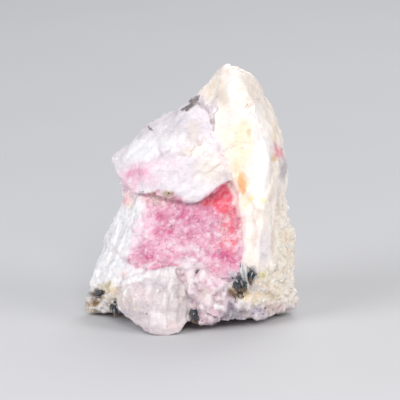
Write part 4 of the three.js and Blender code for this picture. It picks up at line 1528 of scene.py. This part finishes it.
class TUGTUPITE_OT_studio(bpy.types.Operator):
    """Lays the pale floor, hangs the soft lamps and sets up the camera"""
    bl_idname = "tugtupite.studio"
    bl_label = "Studio"

    def execute(self, context):
        settings = context.scene.tugtupite_studio
        lay_floor(settings.floor, tuple(settings.floor_colour))
        middle = (0, 0, 0.5 * CAD_BOX[1][2])
        for lamp in LAMPS:
            power = lamp.share * (settings.key if lamp.name == "key" else settings.fill)
            softbox(lamp, middle, power)
        light_all_round(context.scene, settings.surround)
        set_camera(context.scene, settings.lens)
        return {"FINISHED"}


# ---------------------------------------- settings, panel and run

class StoneSettings(bpy.types.PropertyGroup):
    cell: FloatProperty(
        name="Cell", description="Size of the skin's quads", default=0.0003, min=0.0002,
        subtype="DISTANCE", unit="LENGTH", precision=5,
    )
    wear: IntProperty(
        name="Wear", description="Rounds of smoothing of the solid's edges", default=3, min=0,
    )
    crease: FloatProperty(
        name="Crease", description="Angle past which an edge is sharp", default=math.radians(32),
        subtype="ANGLE", unit="ROTATION",
    )
    relief: FloatProperty(
        name="Relief", description="How strongly the surface is broken", default=1.0, min=0.0,
        subtype="FACTOR",
    )


class CrystalSettings(bpy.types.PropertyGroup):
    swell: FloatProperty(
        name="Swell", description="Width over that of the solid's own crystals", default=1.15,
        min=1.0,
    )
    bevel: FloatProperty(
        name="Bevel", description="Width of the worn edges over the crystal's width",
        default=0.05, min=0.0,
    )
    colour: FloatVectorProperty(
        name="Colour", description="Colour of the aegirine", default=(0.012, 0.016, 0.022),
        subtype="COLOR",
    )
    seed: IntProperty(name="Seed", description="Throw of the dice for the needles", default=5)
    back_seed: IntProperty(
        name="Back seed", description="Throw of the dice for the crystals on the sides and back",
        default=10,
    )


class GrainSettings(bpy.types.PropertyGroup):
    size: FloatProperty(
        name="Size", description="Width of a sugary grain", default=0.00042, min=0.0001,
        subtype="DISTANCE", unit="LENGTH", precision=5,
    )
    sugar: IntProperty(
        name="Sugar", description="How many tugtupite grains there are", default=1300, min=1,
    )
    crumbs: IntProperty(
        name="Crumbs", description="How many crumbs the crust has", default=1000, min=1,
    )
    chips: IntProperty(
        name="Chips", description="How many chips of spar stand proud", default=900, min=1,
    )
    seed: IntProperty(name="Seed", description="Throw of the dice for the grains", default=11)


class StudioSettings(bpy.types.PropertyGroup):
    lens: FloatProperty(
        name="Lens", description="Focal length in millimetres", default=400, min=50,
        unit="CAMERA",
    )
    key: FloatProperty(
        name="Key", description="Power of the main lamp", default=0.96, subtype="POWER",
    )
    fill: FloatProperty(
        name="Fill", description="Power of the lamps that fill the shadows", default=1.05,
        subtype="POWER",
    )
    surround: FloatProperty(
        name="Surround", description="Strength of the pale surroundings", default=0.4,
    )
    floor: FloatProperty(
        name="Floor", description="Width of the floor", default=1.6, subtype="DISTANCE",
        unit="LENGTH",
    )
    floor_colour: FloatVectorProperty(
        name="Floor colour", description="Colour of the floor", default=(0.62, 0.62, 0.64),
        subtype="COLOR",
    )


# Each piece's operator, what its settings are called in the scene, and their kind.
STEPS = [
    (TUGTUPITE_OT_studio, "tugtupite_studio", StudioSettings),
    (TUGTUPITE_OT_stone, "tugtupite_stone", StoneSettings),
    (TUGTUPITE_OT_crystals, "tugtupite_crystals", CrystalSettings),
    (TUGTUPITE_OT_grains, "tugtupite_grains", GrainSettings),
]


class TUGTUPITE_PT_panel(bpy.types.Panel):
    bl_idname = "TUGTUPITE_PT_panel"
    bl_label = "Tugtupite"
    bl_space_type = "VIEW_3D"
    bl_region_type = "UI"
    bl_category = "Tugtupite"

    def draw(self, context):
        for operator, name, kind in STEPS:
            self.layout.operator(operator.bl_idname)
            for value in kind.__annotations__:
                self.layout.prop(getattr(context.scene, name), value)


def register():
    for operator, name, kind in STEPS:
        bpy.utils.register_class(kind)
        setattr(bpy.types.Scene, name, PointerProperty(type=kind))
        bpy.utils.register_class(operator)
    bpy.utils.register_class(TUGTUPITE_PT_panel)


def unregister():
    bpy.utils.unregister_class(TUGTUPITE_PT_panel)
    for operator, name, kind in reversed(STEPS):
        bpy.utils.unregister_class(operator)
        delattr(bpy.types.Scene, name)
        bpy.utils.unregister_class(kind)


def main():
    """Registers the steps and makes every piece."""
    register()
    bpy.ops.tugtupite.studio()
    bpy.ops.tugtupite.stone()
    bpy.ops.tugtupite.crystals()
    bpy.ops.tugtupite.grains()
    bpy.context.view_layer.update()


if __name__ == "__main__":
    main()
